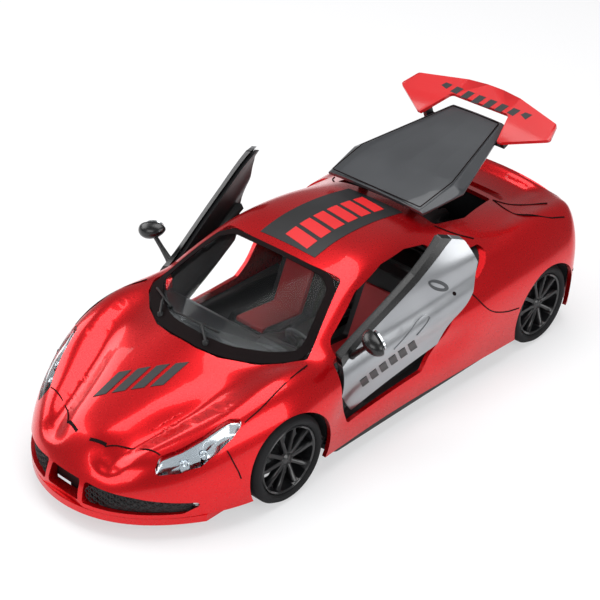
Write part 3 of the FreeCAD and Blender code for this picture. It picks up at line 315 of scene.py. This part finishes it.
# %% Open positions
def opening(pivot, axis, degrees):
    """The matrix that opens a shut panel, in millimetres."""
    there = Matrix.Translation(Vector(pivot))
    return np.array(there @ Matrix.Rotation(math.radians(degrees), 4, Vector(axis)) @ there.inverted())


DOOR_PIVOT, DOOR_AXIS, DOOR_OPEN = (24.9, 33.2, 29.3), (-0.5035, 0.7745, -0.3830), 23.3
LID_PIVOT, LID_AXIS, LID_OPEN = (-24.0, 0.0, 45.6), (0, 1, 0), 21.0
LEFT_DOOR = opening(DOOR_PIVOT, DOOR_AXIS, DOOR_OPEN)
FLIP = np.diag([1.0, -1.0, 1.0, 1.0])
RIGHT_DOOR = FLIP @ LEFT_DOOR @ FLIP
LID = opening(LID_PIVOT, LID_AXIS, LID_OPEN)
SHUT = np.eye(4)
open_body = {"left_door": LEFT_DOOR, "right_door": RIGHT_DOOR, "engine_lid": LID}


def moved(points, matrix):
    return points @ matrix[:3, :3].T + matrix[:3, 3]


print("doors open by", DOOR_OPEN, "degrees, lid by", LID_OPEN)

# %% [markdown]
# ## Smooth skins for the castings
# A casting's mesh is cut into flat triangles, and a glossy coat would show each one. The shape is right, so
# a copy keeps it: its loose corners are welded, its creases kept sharp by angle, and wherever a corner lies
# on the master surface its shading direction is taken from the surface rule itself.

# %% Smooth copies
ON_SURFACE = 0.35       # a corner this near the master surface, in millimetres, takes its direction
SAME_WAY = 0.9          # least cosine between a face and the surface that it lies on


def skin(node, material, keep_angle=32):
    """A welded copy of a construction piece with clean shading, in place of it."""
    body = body_of[node]
    mesh = frame["nodes"][node].data.copy()
    mesh.name = node + "_skin"
    work = bmesh.new()
    work.from_mesh(mesh)
    bmesh.ops.remove_doubles(work, verts=work.verts, dist=1e-6)
    work.to_mesh(mesh)
    work.free()
    mesh.shade_smooth()
    mesh.set_sharp_from_angle(angle=math.radians(keep_angle))
    count = len(mesh.loops)
    corner, owner, flat = np.empty(count * 3), np.empty(count, int), np.empty(len(mesh.polygons) * 3)
    mesh.corner_normals.foreach_get("vector", corner)
    mesh.loops.foreach_get("vertex_index", owner)
    mesh.polygons.foreach_get("normal", flat)
    spots = np.empty(len(mesh.vertices) * 3)
    mesh.vertices.foreach_get("co", spots)
    total = np.empty(len(mesh.polygons), int)
    mesh.polygons.foreach_get("loop_total", total)
    corner, flat, spots = corner.reshape(-1, 3), flat.reshape(-1, 3), spots.reshape(-1, 3)
    turned = open_body.get(body, SHUT)
    closed = moved(spots / MM, np.linalg.inv(turned))
    out = outward(closed) @ turned[:3, :3].T
    near = np.abs(car(closed)) < ON_SURFACE
    face_way = np.repeat(flat, total, axis=0)
    use = near[owner] & ((face_way * out[owner]).sum(1) > SAME_WAY)
    corner[use] = out[owner][use]
    mesh.normals_split_custom_set(corner.tolist())
    mesh.materials.clear()
    mesh.materials.append(material)
    piece = bpy.data.objects.new(node + "_skin", mesh)
    bpy.context.scene.collection.objects.link(piece)
    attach(piece, body)
    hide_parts(node)
    return piece


LEFT_PLAIN = ("floor_pan", "chassis_screws", "axle_", "door_hinge", "lid_hinge", "arch_liners",
              "engine_tray", "mirror_housing")
smooth_nodes = [n for n in sorted(frame["nodes"]) if not n.startswith(LEFT_PLAIN)]
for node in smooth_nodes:
    skin(node, gloss_black if node.startswith("door_trim") else finishes[slot_of[node]])
for node in frame["nodes"]:
    if node not in smooth_nodes:
        for held in frame["nodes"][node].material_slots:
            held.material = finishes[slot_of[node]]
print("smooth skins", len(smooth_nodes), "kept as they are", len(frame["nodes"]) - len(smooth_nodes))

# %% [markdown]
# ## Floor and light
# A studio sweep is pale and even. One wide soft box overhead gives the long reflection down the bonnet,
# two smaller ones at the sides give the edge lights, and a low one in front fills the nose. The floor glows
# a little, so that seen from above it fades into the background.

# %% Floor, lamps and world
def soft_box(name, place_mm, size, power, aim=(0, 0, 15)):
    lamp = bpy.data.lights.new(name, "AREA")
    lamp.shape, lamp.size, lamp.size_y, lamp.energy = "RECTANGLE", size[0], size[1], power
    holder = bpy.data.objects.new(name, lamp)
    holder.location = Vector(place_mm) * MM
    holder.rotation_euler = (Vector(aim) * MM - holder.location).to_track_quat("-Z", "Y").to_euler()
    bpy.context.scene.collection.objects.link(holder)
    return holder


soft_box("over_box", (-60, 0, 620), (0.55, 0.5), 3.4)
soft_box("left_box", (60, 520, 300), (0.5, 0.3), 1.7)
soft_box("right_box", (150, -520, 330), (0.45, 0.3), 1.7)
soft_box("front_box", (640, -60, 320), (0.4, 0.25), 1.2)

world = bpy.data.worlds.new("studio")
bpy.context.scene.world = world
world.use_nodes = True
sky = world.node_tree
path = add_node(sky, "ShaderNodeLightPath")
SKY_LIGHT, BACKDROP = 0.3, 0.94     # strength of the world for the light on the car, and as it is seen
seen = add_node(sky, "ShaderNodeMath", {"operation": "MAXIMUM"},
                {0: path.outputs["Is Camera Ray"], 1: path.outputs["Is Transmission Ray"]})
strength = add_node(sky, "ShaderNodeMapRange", None,
                    {"Value": seen.outputs[0], "To Min": SKY_LIGHT, "To Max": BACKDROP})
sky.nodes["Background"].inputs["Color"].default_value = linear("#FAFAFB")
sky.links.new(strength.outputs["Result"], sky.nodes["Background"].inputs["Strength"])

FLOOR_HALF = 6          # metres
GLOW, GLOW_SHARE = 0.97, 0.55
floor_mesh = bpy.data.meshes.new("studio_floor")
floor_corners = [(-FLOOR_HALF, -FLOOR_HALF, 0), (FLOOR_HALF, -FLOOR_HALF, 0),
                 (FLOOR_HALF, FLOOR_HALF, 0), (-FLOOR_HALF, FLOOR_HALF, 0)]
floor_mesh.from_pydata(floor_corners, [], [(0, 1, 2, 3)])
floor = bpy.data.objects.new("studio_floor", floor_mesh)
bpy.context.scene.collection.objects.link(floor)
paper = bpy.data.materials.new("matt_white_paper")
paper.use_nodes = True
sheet = paper.node_tree
sheet.nodes["Principled BSDF"].inputs["Base Color"].default_value = linear("#F2F2F3")
sheet.nodes["Principled BSDF"].inputs["Roughness"].default_value = 0.9
glow = add_node(sheet, "ShaderNodeEmission", None, {"Color": linear("#FAFAFB"), "Strength": GLOW})
look = add_node(sheet, "ShaderNodeLightPath")
share = add_node(sheet, "ShaderNodeMath", {"operation": "MULTIPLY"},
                 {0: look.outputs["Is Camera Ray"], 1: GLOW_SHARE})
blend = add_node(sheet, "ShaderNodeMixShader", None,
                 {0: share.outputs[0], 1: sheet.nodes["Principled BSDF"].outputs[0], 2: glow.outputs[0]})
sheet.links.new(blend.outputs[0], sheet.nodes["Material Output"].inputs["Surface"])
floor_mesh.materials.append(paper)
print("studio lit")

# %% [markdown]
# ## Laying things on the skin
# A shut line, a print or a glass border is a thin closed slab that follows the surface. Each is made from a
# grid of points on the skin, raised by about a tenth of a millimetre or two, so that it never flickers.

# %% Builders for slabs and ribbons
def slab(grid, lift=0.04, depth=0.05, way=None):
    """Points and faces of a thin closed sheet over a grid of points."""
    m, n = grid.shape[:2]
    out = outward(grid) if way is None else np.broadcast_to(np.asarray(way, float), grid.shape)
    points = np.concatenate([(grid + out * lift).reshape(-1, 3), (grid - out * depth).reshape(-1, 3)])
    at = np.arange(m * n).reshape(m, n)
    faces = []
    for i in range(m - 1):
        for j in range(n - 1):
            quad = [int(at[i, j]), int(at[i + 1, j]), int(at[i + 1, j + 1]), int(at[i, j + 1])]
            faces += [quad, [q + m * n for q in reversed(quad)]]
    rim = list(at[0, :]) + list(at[1:, -1]) + list(at[-1, -2::-1]) + list(at[-2:0:-1, 0])
    for a, b in zip(rim, rim[1:] + rim[:1]):
        faces.append([int(a), int(b), int(b) + m * n, int(a) + m * n])
    return points, faces


def even(points, spacing=0.7, rounds=2):
    """A polyline with its corners softened, cut into even short runs."""
    line = np.asarray(points, float)
    for _ in range(rounds):
        q = np.empty((2 * len(line) - 2, line.shape[1]))
        q[0::2], q[1::2] = line[:-1] * 0.75 + line[1:] * 0.25, line[:-1] * 0.25 + line[1:] * 0.75
        line = np.concatenate([line[:1], q, line[-1:]])
    run = np.concatenate([[0], np.cumsum(np.linalg.norm(np.diff(line, axis=0), axis=1))])
    spots = np.linspace(0, run[-1], max(int(run[-1] / spacing), 2) + 1)
    return np.stack([np.interp(spots, run, line[:, k]) for k in range(line.shape[1])], -1)


def ribbon(line, width, lift=0.11, depth=0.1, way=None):
    """A narrow slab along a line of points on the skin."""
    out = outward(line) if way is None else np.broadcast_to(np.asarray(way, float), line.shape)
    side = np.cross(out, np.gradient(line, axis=0))
    side /= np.linalg.norm(side, axis=1, keepdims=True)
    return slab(np.stack([line - side * width / 2, line + side * width / 2], 1), lift, depth, way)


def quad_grid(corners, m=8, n=6):
    """A grid of plan positions across four corners."""
    a, b, c, d = (np.asarray(v, float) for v in corners)
    u, v = np.meshgrid(np.linspace(0, 1, m), np.linspace(0, 1, n), indexing="ij")
    u, v = u[..., None], v[..., None]
    return a * (1 - u) * (1 - v) + b * u * (1 - v) + c * u * v + d * (1 - u) * v


def mirrored(part):
    return part[0] * [1, -1, 1], part[1]


def lay(name, parts, material, body="body", smooth=False):
    """One closed piece from several slabs, opened with its panel and riding it."""
    points, faces, base = [], [], 0
    for p, f in parts:
        points.append(p)
        faces += [[i + base for i in face] for face in f]
        base += len(p)
    mesh = bpy.data.meshes.new(name)
    mesh.from_pydata((moved(np.concatenate(points), open_body.get(body, SHUT)) * MM).tolist(), [], faces)
    work = bmesh.new()
    work.from_mesh(mesh)
    bmesh.ops.recalc_face_normals(work, faces=work.faces)
    work.to_mesh(mesh)
    work.free()
    if smooth:
        mesh.shade_smooth()
        mesh.set_sharp_from_angle(angle=math.radians(35))
    mesh.materials.append(material)
    made = bpy.data.objects.new(name, mesh)
    bpy.context.scene.collection.objects.link(made)
    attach(made, body)
    print(name, len(faces), "faces")
    return made

print("a right-angled corner is softened into", len(even([(0, 0), (10, 0), (10, 10)])), "points")

# %% [markdown]
# ## Shut lines
# The bonnet is one casting with the wings, so its shut lines are engraved: they run from two slots in the nose
# to the lamps and on to the windscreen. A dark ribbon laid on the paint is painted shade, standing for the
# shadow inside the engraved groove.

# %% Shut lines
LINE_WIDTH = 0.34
top_lines = [[(82.8, 7.4), (80.6, 9.6), (78.7, 12.6), (77.2, 17.0), (76.6, 21.6)],
             [(57.6, 33.2), (53.0, 33.8), (49.2, 33.7), (41.1, 32.8), (32.4, 31.4)],
             [(64.2, 33.4), (63.6, 35.2), (62.4, 36.6)],
             [(-34.0, 19.6), (-38.0, 24.0), (-43.0, 27.4)],
             [(-68.6, 15.0), (-66.6, 21.0), (-65.4, 27.4), (-70.0, 33.4), (-78.0, 35.0)],
             [(-68.6, 14.8), (-72.4, 22.0), (-78.2, 28.4)]]
# Painted shade: each dark ribbon stands for the shadow in a groove.
seams = [ribbon(from_top(even(line)), LINE_WIDTH, 0.2, 0.25) for line in top_lines]
side_lines = [[(-30.6, 31.8), (-36.0, 24.0), (-44.0, 20.4), (-50.4, 19.2)],
              [(-78.6, 20.0), (-83.6, 18.4), (-88.0, 17.6)]]
seams += [ribbon(from_side(even(line)), LINE_WIDTH) for line in side_lines]
lay("shut_lines", seams + [mirrored(s) for s in seams], shade_and_print_black)

# The slots are not cut: a flat dark patch on the paint is painted shade for each opening.
NOSTRIL = [(84.1, 2.6), (83.4, 2.5), (82.0, 7.3), (82.7, 7.6)]
nostril = slab(from_top(quad_grid(NOSTRIL)), 0.1, 0.1)
lay("bonnet_slots", [nostril, mirrored(nostril)], shade_and_print_black)

# %% [markdown]
# ## Stripe and prints
# The tampo prints are dull ink over the gloss paint. Plain slanted bars stand in for the lettering of such
# a model: red on the graphite roof stripe, dark on the bonnet, the doors and the wing.

# %% Stripe and bars
STRIPE_HALF, STRIPE_FRONT, STRIPE_BACK = 10.5, 7.3, -30.4
stripe_corners = [(STRIPE_FRONT, -STRIPE_HALF), (STRIPE_BACK, -STRIPE_HALF),
                  (STRIPE_BACK, STRIPE_HALF), (STRIPE_FRONT, STRIPE_HALF)]
stripe = slab(from_top(quad_grid(stripe_corners, 26, 16)), 0.12, 0.1)
lay("roof_stripe", [stripe], print_black, smooth=True)


def slanted_bars(start, run, width, height, slant, count):
    """Corner lists of a row of slanted bars; run is the pitch between them."""
    rows = []
    for i in range(count):
        u = start[0] - i * run
        low, high = start[1] - height / 2, start[1] + height / 2
        rows.append([(u, low), (u - width, low), (u - width + slant, high), (u + slant, high)])
    return rows


def bonnet_bar(y):
    """Corners of one bar of the row that slants across the bonnet."""
    front, rear = 68.0 - 0.9 * y, 58.6 - 0.9 * y
    return [(front, y), (rear, y), (rear - 2.4, y + 2.6), (front - 2.4, y + 2.6)]


roof_row = slanted_bars((4.6, 1.6), 5.7, 4.2, 9.6, 1.4, 6)
roof_bars = [slab(from_top(quad_grid(corners)), 0.19, 0.02) for corners in roof_row]
lay("roof_bars", roof_bars, print_red)
bonnet_bars = [slab(from_top(quad_grid(bonnet_bar(y))), 0.13, 0.05) for y in (-7.0, -3.2, 0.6, 4.4)]
lay("bonnet_bars", bonnet_bars, print_black)
door_row = slanted_bars((17.6, 21.6), 3.5, 2.4, 5.0, 1.4, 6)
for side in ("left", "right"):
    bars = [slab(from_side(quad_grid(corners, 6, 6)), 0.13, 0.05) for corners in door_row]
    placed = bars if side == "left" else [mirrored(b) for b in bars]
    lay("door_bars_" + side, placed, print_black, side + "_door")


def flat_grid(corners, z, m=4, n=4):
    grid = quad_grid(corners, m, n)
    return np.concatenate([grid, np.full(grid.shape[:2] + (1,), z)], -1)


WING_TOP = 42.4


def wing_bar(y):
    """Corners of one bar on the wing; the row bends back towards the wing's ends."""
    first_front, last_front = -81.6 - 0.010 * (y + 1.3) ** 2 + 1.4, -81.6 + 0.9 - 0.004 * y * y
    return [(first_front, y), (-84.2, y + 0.7), (-84.2, y + 3.3), (last_front, y + 2.6)]


wing_bars = [slab(flat_grid(wing_bar(y), WING_TOP), 0.05, 0.02, (0, 0, 1))
             for y in (-16.4, -12.0, -7.6, -3.2, 1.2, 5.6, 10.0, 14.4)]
lay("wing_bars", wing_bars, print_black, "engine_lid")

# %% [markdown]
# ## Windscreen border
# The real screen has a wide black printed edge that hides the glue. It is a ring between the glass outline
# and the same outline drawn in towards its middle, laid just over the glass.

# %% Windscreen border
def ring(outer_points, inner_points, project, samples=132, across=4, lift=0.03, depth=0.03):
    """A closed band on the skin between two outlines that have as many points."""
    outer = even(list(outer_points) + [outer_points[0]], 0.5, 1)
    inner = even(list(inner_points) + [inner_points[0]], 0.5, 1)
    spots = np.linspace(0, 1, samples + 1)[:-1]
    pair = [np.stack([np.interp(spots, np.linspace(0, 1, len(line)), line[:, k]) for k in (0, 1)], -1)
            for line in (outer, inner)]
    grid = project(np.stack([pair[0] * (1 - t) + pair[1] * t for t in np.linspace(0, 1, across)], 1))
    grid = np.concatenate([grid, grid[:1]])
    out = outward(grid)
    top, low = grid + out * lift, grid - out * depth
    m, n = grid.shape[0] - 1, across
    points = np.concatenate([top[:-1].reshape(-1, 3), low[:-1].reshape(-1, 3)])
    at = np.arange(m * n).reshape(m, n)
    faces = []
    for i in range(m):
        k = (i + 1) % m
        for j in range(n - 1):
            quad = [int(at[i, j]), int(at[k, j]), int(at[k, j + 1]), int(at[i, j + 1])]
            faces += [quad, [q + m * n for q in reversed(quad)]]
        for j in (0, n - 1):
            faces.append([int(at[i, j]), int(at[k, j]), int(at[k, j]) + m * n, int(at[i, j]) + m * n])
    return points, faces


def both_sides(points):
    return points + [(x, -y) for x, y in reversed(points)]


screen_edge = both_sides([(47.4, 5.0), (46.0, 12.0), (41.5, 19.8), (36.0, 26.1), (30.9, 29.3), (20.0, 25.8),
                          (9.2, 21.8), (10.2, 8.0)])
screen_clear = both_sides([(43.4, 4.6), (42.0, 11.2), (37.6, 18.4), (32.9, 24.0), (29.6, 26.6), (20.6, 23.6),
                           (11.0, 19.9), (11.8, 7.6)])
border = ring(screen_edge, screen_clear, from_top, lift=0.1)
lay("windscreen_border", [border], shade_and_print_black, smooth=True)

# %% [markdown]
# ## Lid edge line, door handles and mirror stalks
# The lid has one fine line pressed in along its edges, drawn as a dark ribbon of painted shade. Each door has
# an oval recess for its handle, drawn as a flat dark grey oval of painted shade, with a small lock dot behind,
# and the mirror stalk stands on the black strip under the window.

# %% Small panel details
# The pressed line is not cut into the lid: a dark ribbon laid on it is painted shade for the groove.
LID_TOP = [(-32.0, 49.4, 17.0), (-46.0, 47.4, 17.5), (-78.4, 40.2, 9.0)]
lid_line = [(x, y, z + 0.05) for x, z, y in LID_TOP] + [(x, -y, z + 0.05) for x, z, y in reversed(LID_TOP)]
lid_line = even(lid_line + lid_line[:1], 0.9, 0)
lay("lid_edge_line", [ribbon(lid_line, 0.3, 0.06, 0.12, (0, 0, 1))], shade_and_print_black, "engine_lid")

ANGLES = np.linspace(0, 2 * np.pi, 40, endpoint=False)


def oval(centre, long_half, short_half, lean, shares=(1.0, 0.75, 0.5, 0.25, 0.02)):
    """Door-side positions of an oval, as rings drawn in to its middle."""
    c, s = math.cos(lean), math.sin(lean)
    rings = []
    for share in shares:
        u, v = np.cos(ANGLES) * long_half * share, np.sin(ANGLES) * short_half * share
        rings.append(np.stack([centre[0] + u * c - v * s, centre[1] + u * s + v * c], -1))
    return np.stack([np.concatenate([r, r[:1]]) for r in rings], 1)


STALK_FOOT, STALK_HEAD = np.array([18.2, 34.2, 31.4]), np.array([15.2, 39.2, 39.0])
STALK_RADII = ((0.0, 1.15), (0.12, 0.95), (0.5, 0.72), (1.0, 0.66))     # share of the length, radius
CREASE = [(6.0, 26.0), (1.0, 27.0), (-6.0, 29.2), (-8.6, 27.6), (-2.0, 25.2)]


def mirror_stalk():
    """A round stalk, wide at its foot, closed at both ends."""
    way = (STALK_HEAD - STALK_FOOT) / np.linalg.norm(STALK_HEAD - STALK_FOOT)
    first = np.cross(way, (1, 0, 0)) / np.linalg.norm(np.cross(way, (1, 0, 0)))
    second = np.cross(way, first)
    spin = np.cos(ANGLES[:, None]) * first + np.sin(ANGLES[:, None]) * second
    rounds = [STALK_FOOT + (STALK_HEAD - STALK_FOOT) * t + spin * r for t, r in STALK_RADII]
    n, last = len(ANGLES), len(STALK_RADII) - 1
    faces = [[i * n + j, i * n + (j + 1) % n, (i + 1) * n + (j + 1) % n, (i + 1) * n + j]
             for i in range(last) for j in range(n)]
    faces += [list(range(n)), list(range(last * n, (last + 1) * n))]
    return np.concatenate(rounds), faces


for side in ("left", "right"):
    door = side + "_door"
    turn_over = (lambda part: part) if side == "left" else mirrored
    silver, recess_shade_grey = finishes["satin_silver_paint"], finishes["satin_grey_paint"]
    # The recess is not cut: a flat dark grey oval on the door is painted shade for it.
    recess = slab(from_side(oval((-13.6, 33.6), 3.3, 1.4, 0.75)), 0.12, 0.05)
    lay("handle_recess_shade_" + side, [turn_over(recess)], recess_shade_grey, door)
    grip = slab(from_side(oval((-13.2, 34.0), 2.3, 0.5, 0.75)), 0.45, 0.02)
    lay("door_handle_" + side, [turn_over(grip)], silver, door, True)
    dot = slab(from_side(oval((-17.0, 29.6), 0.5, 0.5, 0)), 0.13, 0.05)
    lay("lock_dot_" + side, [turn_over(dot)], shade_and_print_black, door)
    crease = ribbon(from_side(even(CREASE, 0.5, 2)), 0.5, 0.28, 0.05)
    lay("door_highlight_" + side, [turn_over(crease)], silver, door, True)
    lay("mirror_stalk_" + side, [turn_over(mirror_stalk())], gloss_black, door, True)

# %% [markdown]
# ## Mirror heads
# A mirror head is a drop shape, flatter behind, where the glass sits, and round in front. A grid over a
# ball, squeezed by rule, gives it even facets.

# %% Mirror heads
MIRROR_AT = np.array([14.2, 39.8, 39.6])
HEAD = (3.4, 4.5, 2.6)                    # reach ahead, half width and half height
LEAN_BACK = math.radians(-12)
ROWS, ROUND = 17, 36
rise, turn_round = np.meshgrid(np.linspace(0, np.pi, ROWS + 2), np.linspace(0, 2 * np.pi, ROUND + 1)[:-1],
                               indexing="ij")
ball = np.stack([np.cos(rise), np.sin(rise) * np.cos(turn_round), np.sin(rise) * np.sin(turn_round)], -1)
ball[..., 0] = np.where(ball[..., 0] > 0, ball[..., 0] * HEAD[0], ball[..., 0] * 1.1)
ball[..., 1] *= HEAD[1]
ball[..., 2] *= HEAD[2] * (1 + 0.12 * ball[..., 1] / HEAD[1])
lean_cos, lean_sin = math.cos(LEAN_BACK), math.sin(LEAN_BACK)
swing = np.array([[lean_cos, -lean_sin, 0], [lean_sin, lean_cos, 0], [0, 0, 1]])
head_rows = (ball[1:-1] @ swing.T + MIRROR_AT).reshape(-1, 3)
tips = ball[[0, -1], 0] @ swing.T + MIRROR_AT
head_points = np.concatenate([head_rows, tips])
head_faces = []
for i in range(ROWS - 1):
    for j in range(ROUND):
        k = (j + 1) % ROUND
        head_faces.append([i * ROUND + j, i * ROUND + k, (i + 1) * ROUND + k, (i + 1) * ROUND + j])
head_faces += [[j, (j + 1) % ROUND, ROWS * ROUND] for j in range(ROUND)]
last_row = (ROWS - 1) * ROUND
head_faces += [[last_row + j, last_row + (j + 1) % ROUND, ROWS * ROUND + 1] for j in range(ROUND)]
for side in ("left", "right"):
    part = (head_points, head_faces)
    placed = part if side == "left" else mirrored(part)
    drop = lay("mirror_head_" + side, [placed], gloss_black, side + "_door", True)
    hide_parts("mirror_housing_" + side)

# %% [markdown]
# ## Parts that repeat
# Wheel nuts stand in a ring and mesh cells in rows. Each is one small Geometry Nodes tree: points are made
# by rule, one shape is set on every point, and the copies are made real.

# %% Geometry Nodes trees
def node_tree(name, sockets):
    tree = bpy.data.node_groups.new(name, "GeometryNodeTree")
    tree.interface.new_socket("Geometry", in_out="OUTPUT", socket_type="NodeSocketGeometry")
    for label, kind in sockets:
        tree.interface.new_socket(label, in_out="INPUT", socket_type=kind)
    return tree, add_node(tree, "NodeGroupInput"), add_node(tree, "NodeGroupOutput")


def grow(tree, name, values):
    """Runs a tree with the given inputs and returns its points in millimetres, and its faces."""
    mesh = bpy.data.meshes.new(name)
    holder = bpy.data.objects.new(name, mesh)
    bpy.context.scene.collection.objects.link(holder)
    modifier = holder.modifiers.new("grow", "NODES")
    modifier.node_group = tree
    for item in tree.interface.items_tree:
        if item.item_type == "SOCKET" and item.in_out == "INPUT" and item.name in values:
            modifier[item.identifier] = values[item.name]
    graph = bpy.context.evaluated_depsgraph_get()
    grown = bpy.data.meshes.new_from_object(holder.evaluated_get(graph))
    points = np.empty(len(grown.vertices) * 3)
    grown.vertices.foreach_get("co", points)
    faces = [list(p.vertices) for p in grown.polygons]
    holder.modifiers.remove(modifier)
    bpy.data.objects.remove(holder)
    bpy.data.meshes.remove(grown)
    return points.reshape(-1, 3) / MM, faces


def finish_tree(tree, source, end, given):
    real = add_node(tree, "GeometryNodeRealizeInstances", None, {"Geometry": source})
    dressed = add_node(tree, "GeometryNodeSetMaterial", None,
                       {"Geometry": real.outputs[0], "Material": given.outputs["Material"]})
    tree.links.new(dressed.outputs[0], end.inputs["Geometry"])


FLOAT, WHOLE, STUFF = "NodeSocketFloat", "NodeSocketInt", "NodeSocketMaterial"
nut_inputs = [("Count", WHOLE), ("Ring Radius", FLOAT), ("Nut Radius", FLOAT), ("Nut Height", FLOAT),
              ("Material", STUFF)]
nut_tree, given, end = node_tree("ring_of_nuts", nut_inputs)
circle = add_node(nut_tree, "GeometryNodeMeshCircle", None,
                  {"Vertices": given.outputs["Count"], "Radius": given.outputs["Ring Radius"]})
nut = add_node(nut_tree, "GeometryNodeMeshCylinder", None,
               {"Vertices": 6, "Radius": given.outputs["Nut Radius"], "Depth": given.outputs["Nut Height"]})
nuts = add_node(nut_tree, "GeometryNodeInstanceOnPoints", None,
                {"Points": circle.outputs[0], "Instance": nut.outputs[0]})
finish_tree(nut_tree, nuts.outputs[0], end, given)

cell_inputs = [("Columns", WHOLE), ("Rows", WHOLE), ("Width", FLOAT), ("Height", FLOAT), ("Half Pitch", FLOAT),
               ("Cell Radius", FLOAT), ("Wire Radius", FLOAT), ("Material", STUFF)]
HEXAGON, WIRE_SIDES = 6, 4
cell_tree, given, end = node_tree("rows_of_cells", cell_inputs)
grid = add_node(cell_tree, "GeometryNodeMeshGrid", None,
                {"Vertices X": given.outputs["Columns"], "Vertices Y": given.outputs["Rows"],
                 "Size X": given.outputs["Width"], "Size Y": given.outputs["Height"]})
number = add_node(cell_tree, "GeometryNodeInputIndex")
odd = add_node(cell_tree, "ShaderNodeMath", {"operation": "MODULO"}, {0: number.outputs[0], 1: 2.0})
shift = add_node(cell_tree, "ShaderNodeMath", {"operation": "MULTIPLY"},
                 {0: odd.outputs[0], 1: given.outputs["Half Pitch"]})
aside = add_node(cell_tree, "ShaderNodeCombineXYZ", None, {"X": shift.outputs[0]})
staggered = add_node(cell_tree, "GeometryNodeSetPosition", None,
                     {"Geometry": grid.outputs[0], "Offset": aside.outputs[0]})
hexagon = add_node(cell_tree, "GeometryNodeCurvePrimitiveCircle", None,
                   {"Resolution": HEXAGON, "Radius": given.outputs["Cell Radius"]})
wire = add_node(cell_tree, "GeometryNodeCurvePrimitiveCircle", None,
                {"Resolution": WIRE_SIDES, "Radius": given.outputs["Wire Radius"]})
cell = add_node(cell_tree, "GeometryNodeCurveToMesh", None,
                {"Curve": hexagon.outputs[0], "Profile Curve": wire.outputs[0]})
cells = add_node(cell_tree, "GeometryNodeInstanceOnPoints", None,
                 {"Points": staggered.outputs[0], "Instance": cell.outputs[0]})
finish_tree(cell_tree, cells.outputs[0], end, given)
print("trees", [t.name for t in bpy.data.node_groups])

# %% [markdown]
# ## Wheel nuts and caps
# Five nuts ring each hub and one flat six-sided cap closes it. They turn with the wheel, so each axle
# carries its own.

# %% Wheel nuts
HUB_Z = 13.0
FRONT_OVERHANG, WHEELBASE = 47.3, 110.4
FRONT_AXLE_X = NOSE - FRONT_OVERHANG
NUT_RING, CAP = (5, 2.5, 0.5, 0.9, -1.3), (1, 0.0, 1.35, 0.8, -1.2)    # count, ring, radius, height, stand-out
FEWEST = 3              # a circle of points has at least three, so a single cap keeps the first third
for body, axle_x in (("front_wheels", FRONT_AXLE_X), ("rear_wheels", FRONT_AXLE_X - WHEELBASE)):
    parts = []
    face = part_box(("rim_front_left" if body == "front_wheels" else "rim_rear_left"))[1][1] / MM
    for count, ring_radius, radius, height, out_by in (NUT_RING, CAP):
        values = {"Count": max(count, FEWEST), "Ring Radius": ring_radius * MM, "Nut Radius": radius * MM,
                  "Nut Height": height * MM, "Material": finishes["steel"]}
        nuts_made, faces = grow(nut_tree, "nuts", values)
        if count == 1:
            single = len(nuts_made) // FEWEST
            nuts_made, faces = nuts_made[:single], [f for f in faces if max(f) < single]
        along, up, stand_out = nuts_made[:, 0] + axle_x, nuts_made[:, 1] + HUB_Z, nuts_made[:, 2] + face + out_by
        placed = np.stack([along, stand_out, up], -1)
        parts += [(placed, faces), mirrored((placed, faces))]
    lay("wheel_nuts_" + body.split("_")[0], parts, finishes["black_wheel_paint"], body)

# %% [markdown]
# ## Grille mesh
# Behind each side of the mouth is a moulded mesh of small six-sided cells. The cells are grown flat, those
# outside the opening are dropped whole, and the rest are bent back with the nose.

# %% Grille mesh
CELL_RADIUS, WIRE_RADIUS = 0.95, 0.14
GRILLE_SET_BACK = 1.5      # how far the mesh lies behind the face of the nose
FIELD_Y, FIELD_Z = 20.4, 11.0          # middle of the field of cells
MOUTH_INNER, MOUTH_OUTER, MOUTH_LOW, MOUTH_TOP = 8.4, 31.2, 8.9, 14.0
MESH_EDGE = 0.7                        # how far a cell's middle stays below the top of the mouth


def mouth_top(y):
    """Height of the upper edge of the mouth, which falls away to the side."""
    return MOUTH_TOP - max(y - 7.0, 0) * 0.062 - max(y - 20.0, 0) * 0.115


values = {"Columns": 19, "Rows": 9, "Width": 26.6 * MM, "Height": 6.4 * MM, "Half Pitch": 0.74 * MM,
          "Cell Radius": CELL_RADIUS * MM, "Wire Radius": WIRE_RADIUS * MM,
          "Material": finishes["black_plastic"]}
mesh_points, mesh_faces = grow(cell_tree, "cells", values)
per_cell = HEXAGON * WIRE_SIDES
kept_points, kept_faces, base = [], [], 0
for start in range(0, len(mesh_points), per_cell):
    block = mesh_points[start:start + per_cell]
    centre = block.mean(0)
    y, z = centre[0] + FIELD_Y, centre[1] + FIELD_Z
    if not (MOUTH_INNER < y < MOUTH_OUTER and MOUTH_LOW < z < mouth_top(y) - MESH_EDGE):
        continue
    yy, zz = block[:, 0] + FIELD_Y, block[:, 1] + FIELD_Z
    xx = NOSE - 0.0150 * yy ** 2 - 4.2e-6 * yy ** 4 - GRILLE_SET_BACK + block[:, 2]
    kept_points.append(np.stack([xx, yy, zz], -1))
    kept_faces += [[i - start + base for i in f] for f in mesh_faces if start <= f[0] < start + per_cell]
    base += per_cell
grille = (np.concatenate(kept_points), kept_faces)
lay("grille_mesh", [grille, mirrored(grille)], finishes["black_plastic"])

BAR_X, BAR_HALF, BAR_LOW, BAR_HIGH = 90.7, 2.6, 11.0, 11.9
bar_y = np.broadcast_to(np.linspace(-BAR_HALF, BAR_HALF, 6), (2, 6))
bar_grid = np.stack([np.full((2, 6), BAR_X), bar_y, np.array([[BAR_LOW] * 6, [BAR_HIGH] * 6])], -1)
bar = slab(bar_grid, 0.25, 0.2, (1, 0, 0))
lay("grille_bar", [bar], finishes["chrome_plating"])
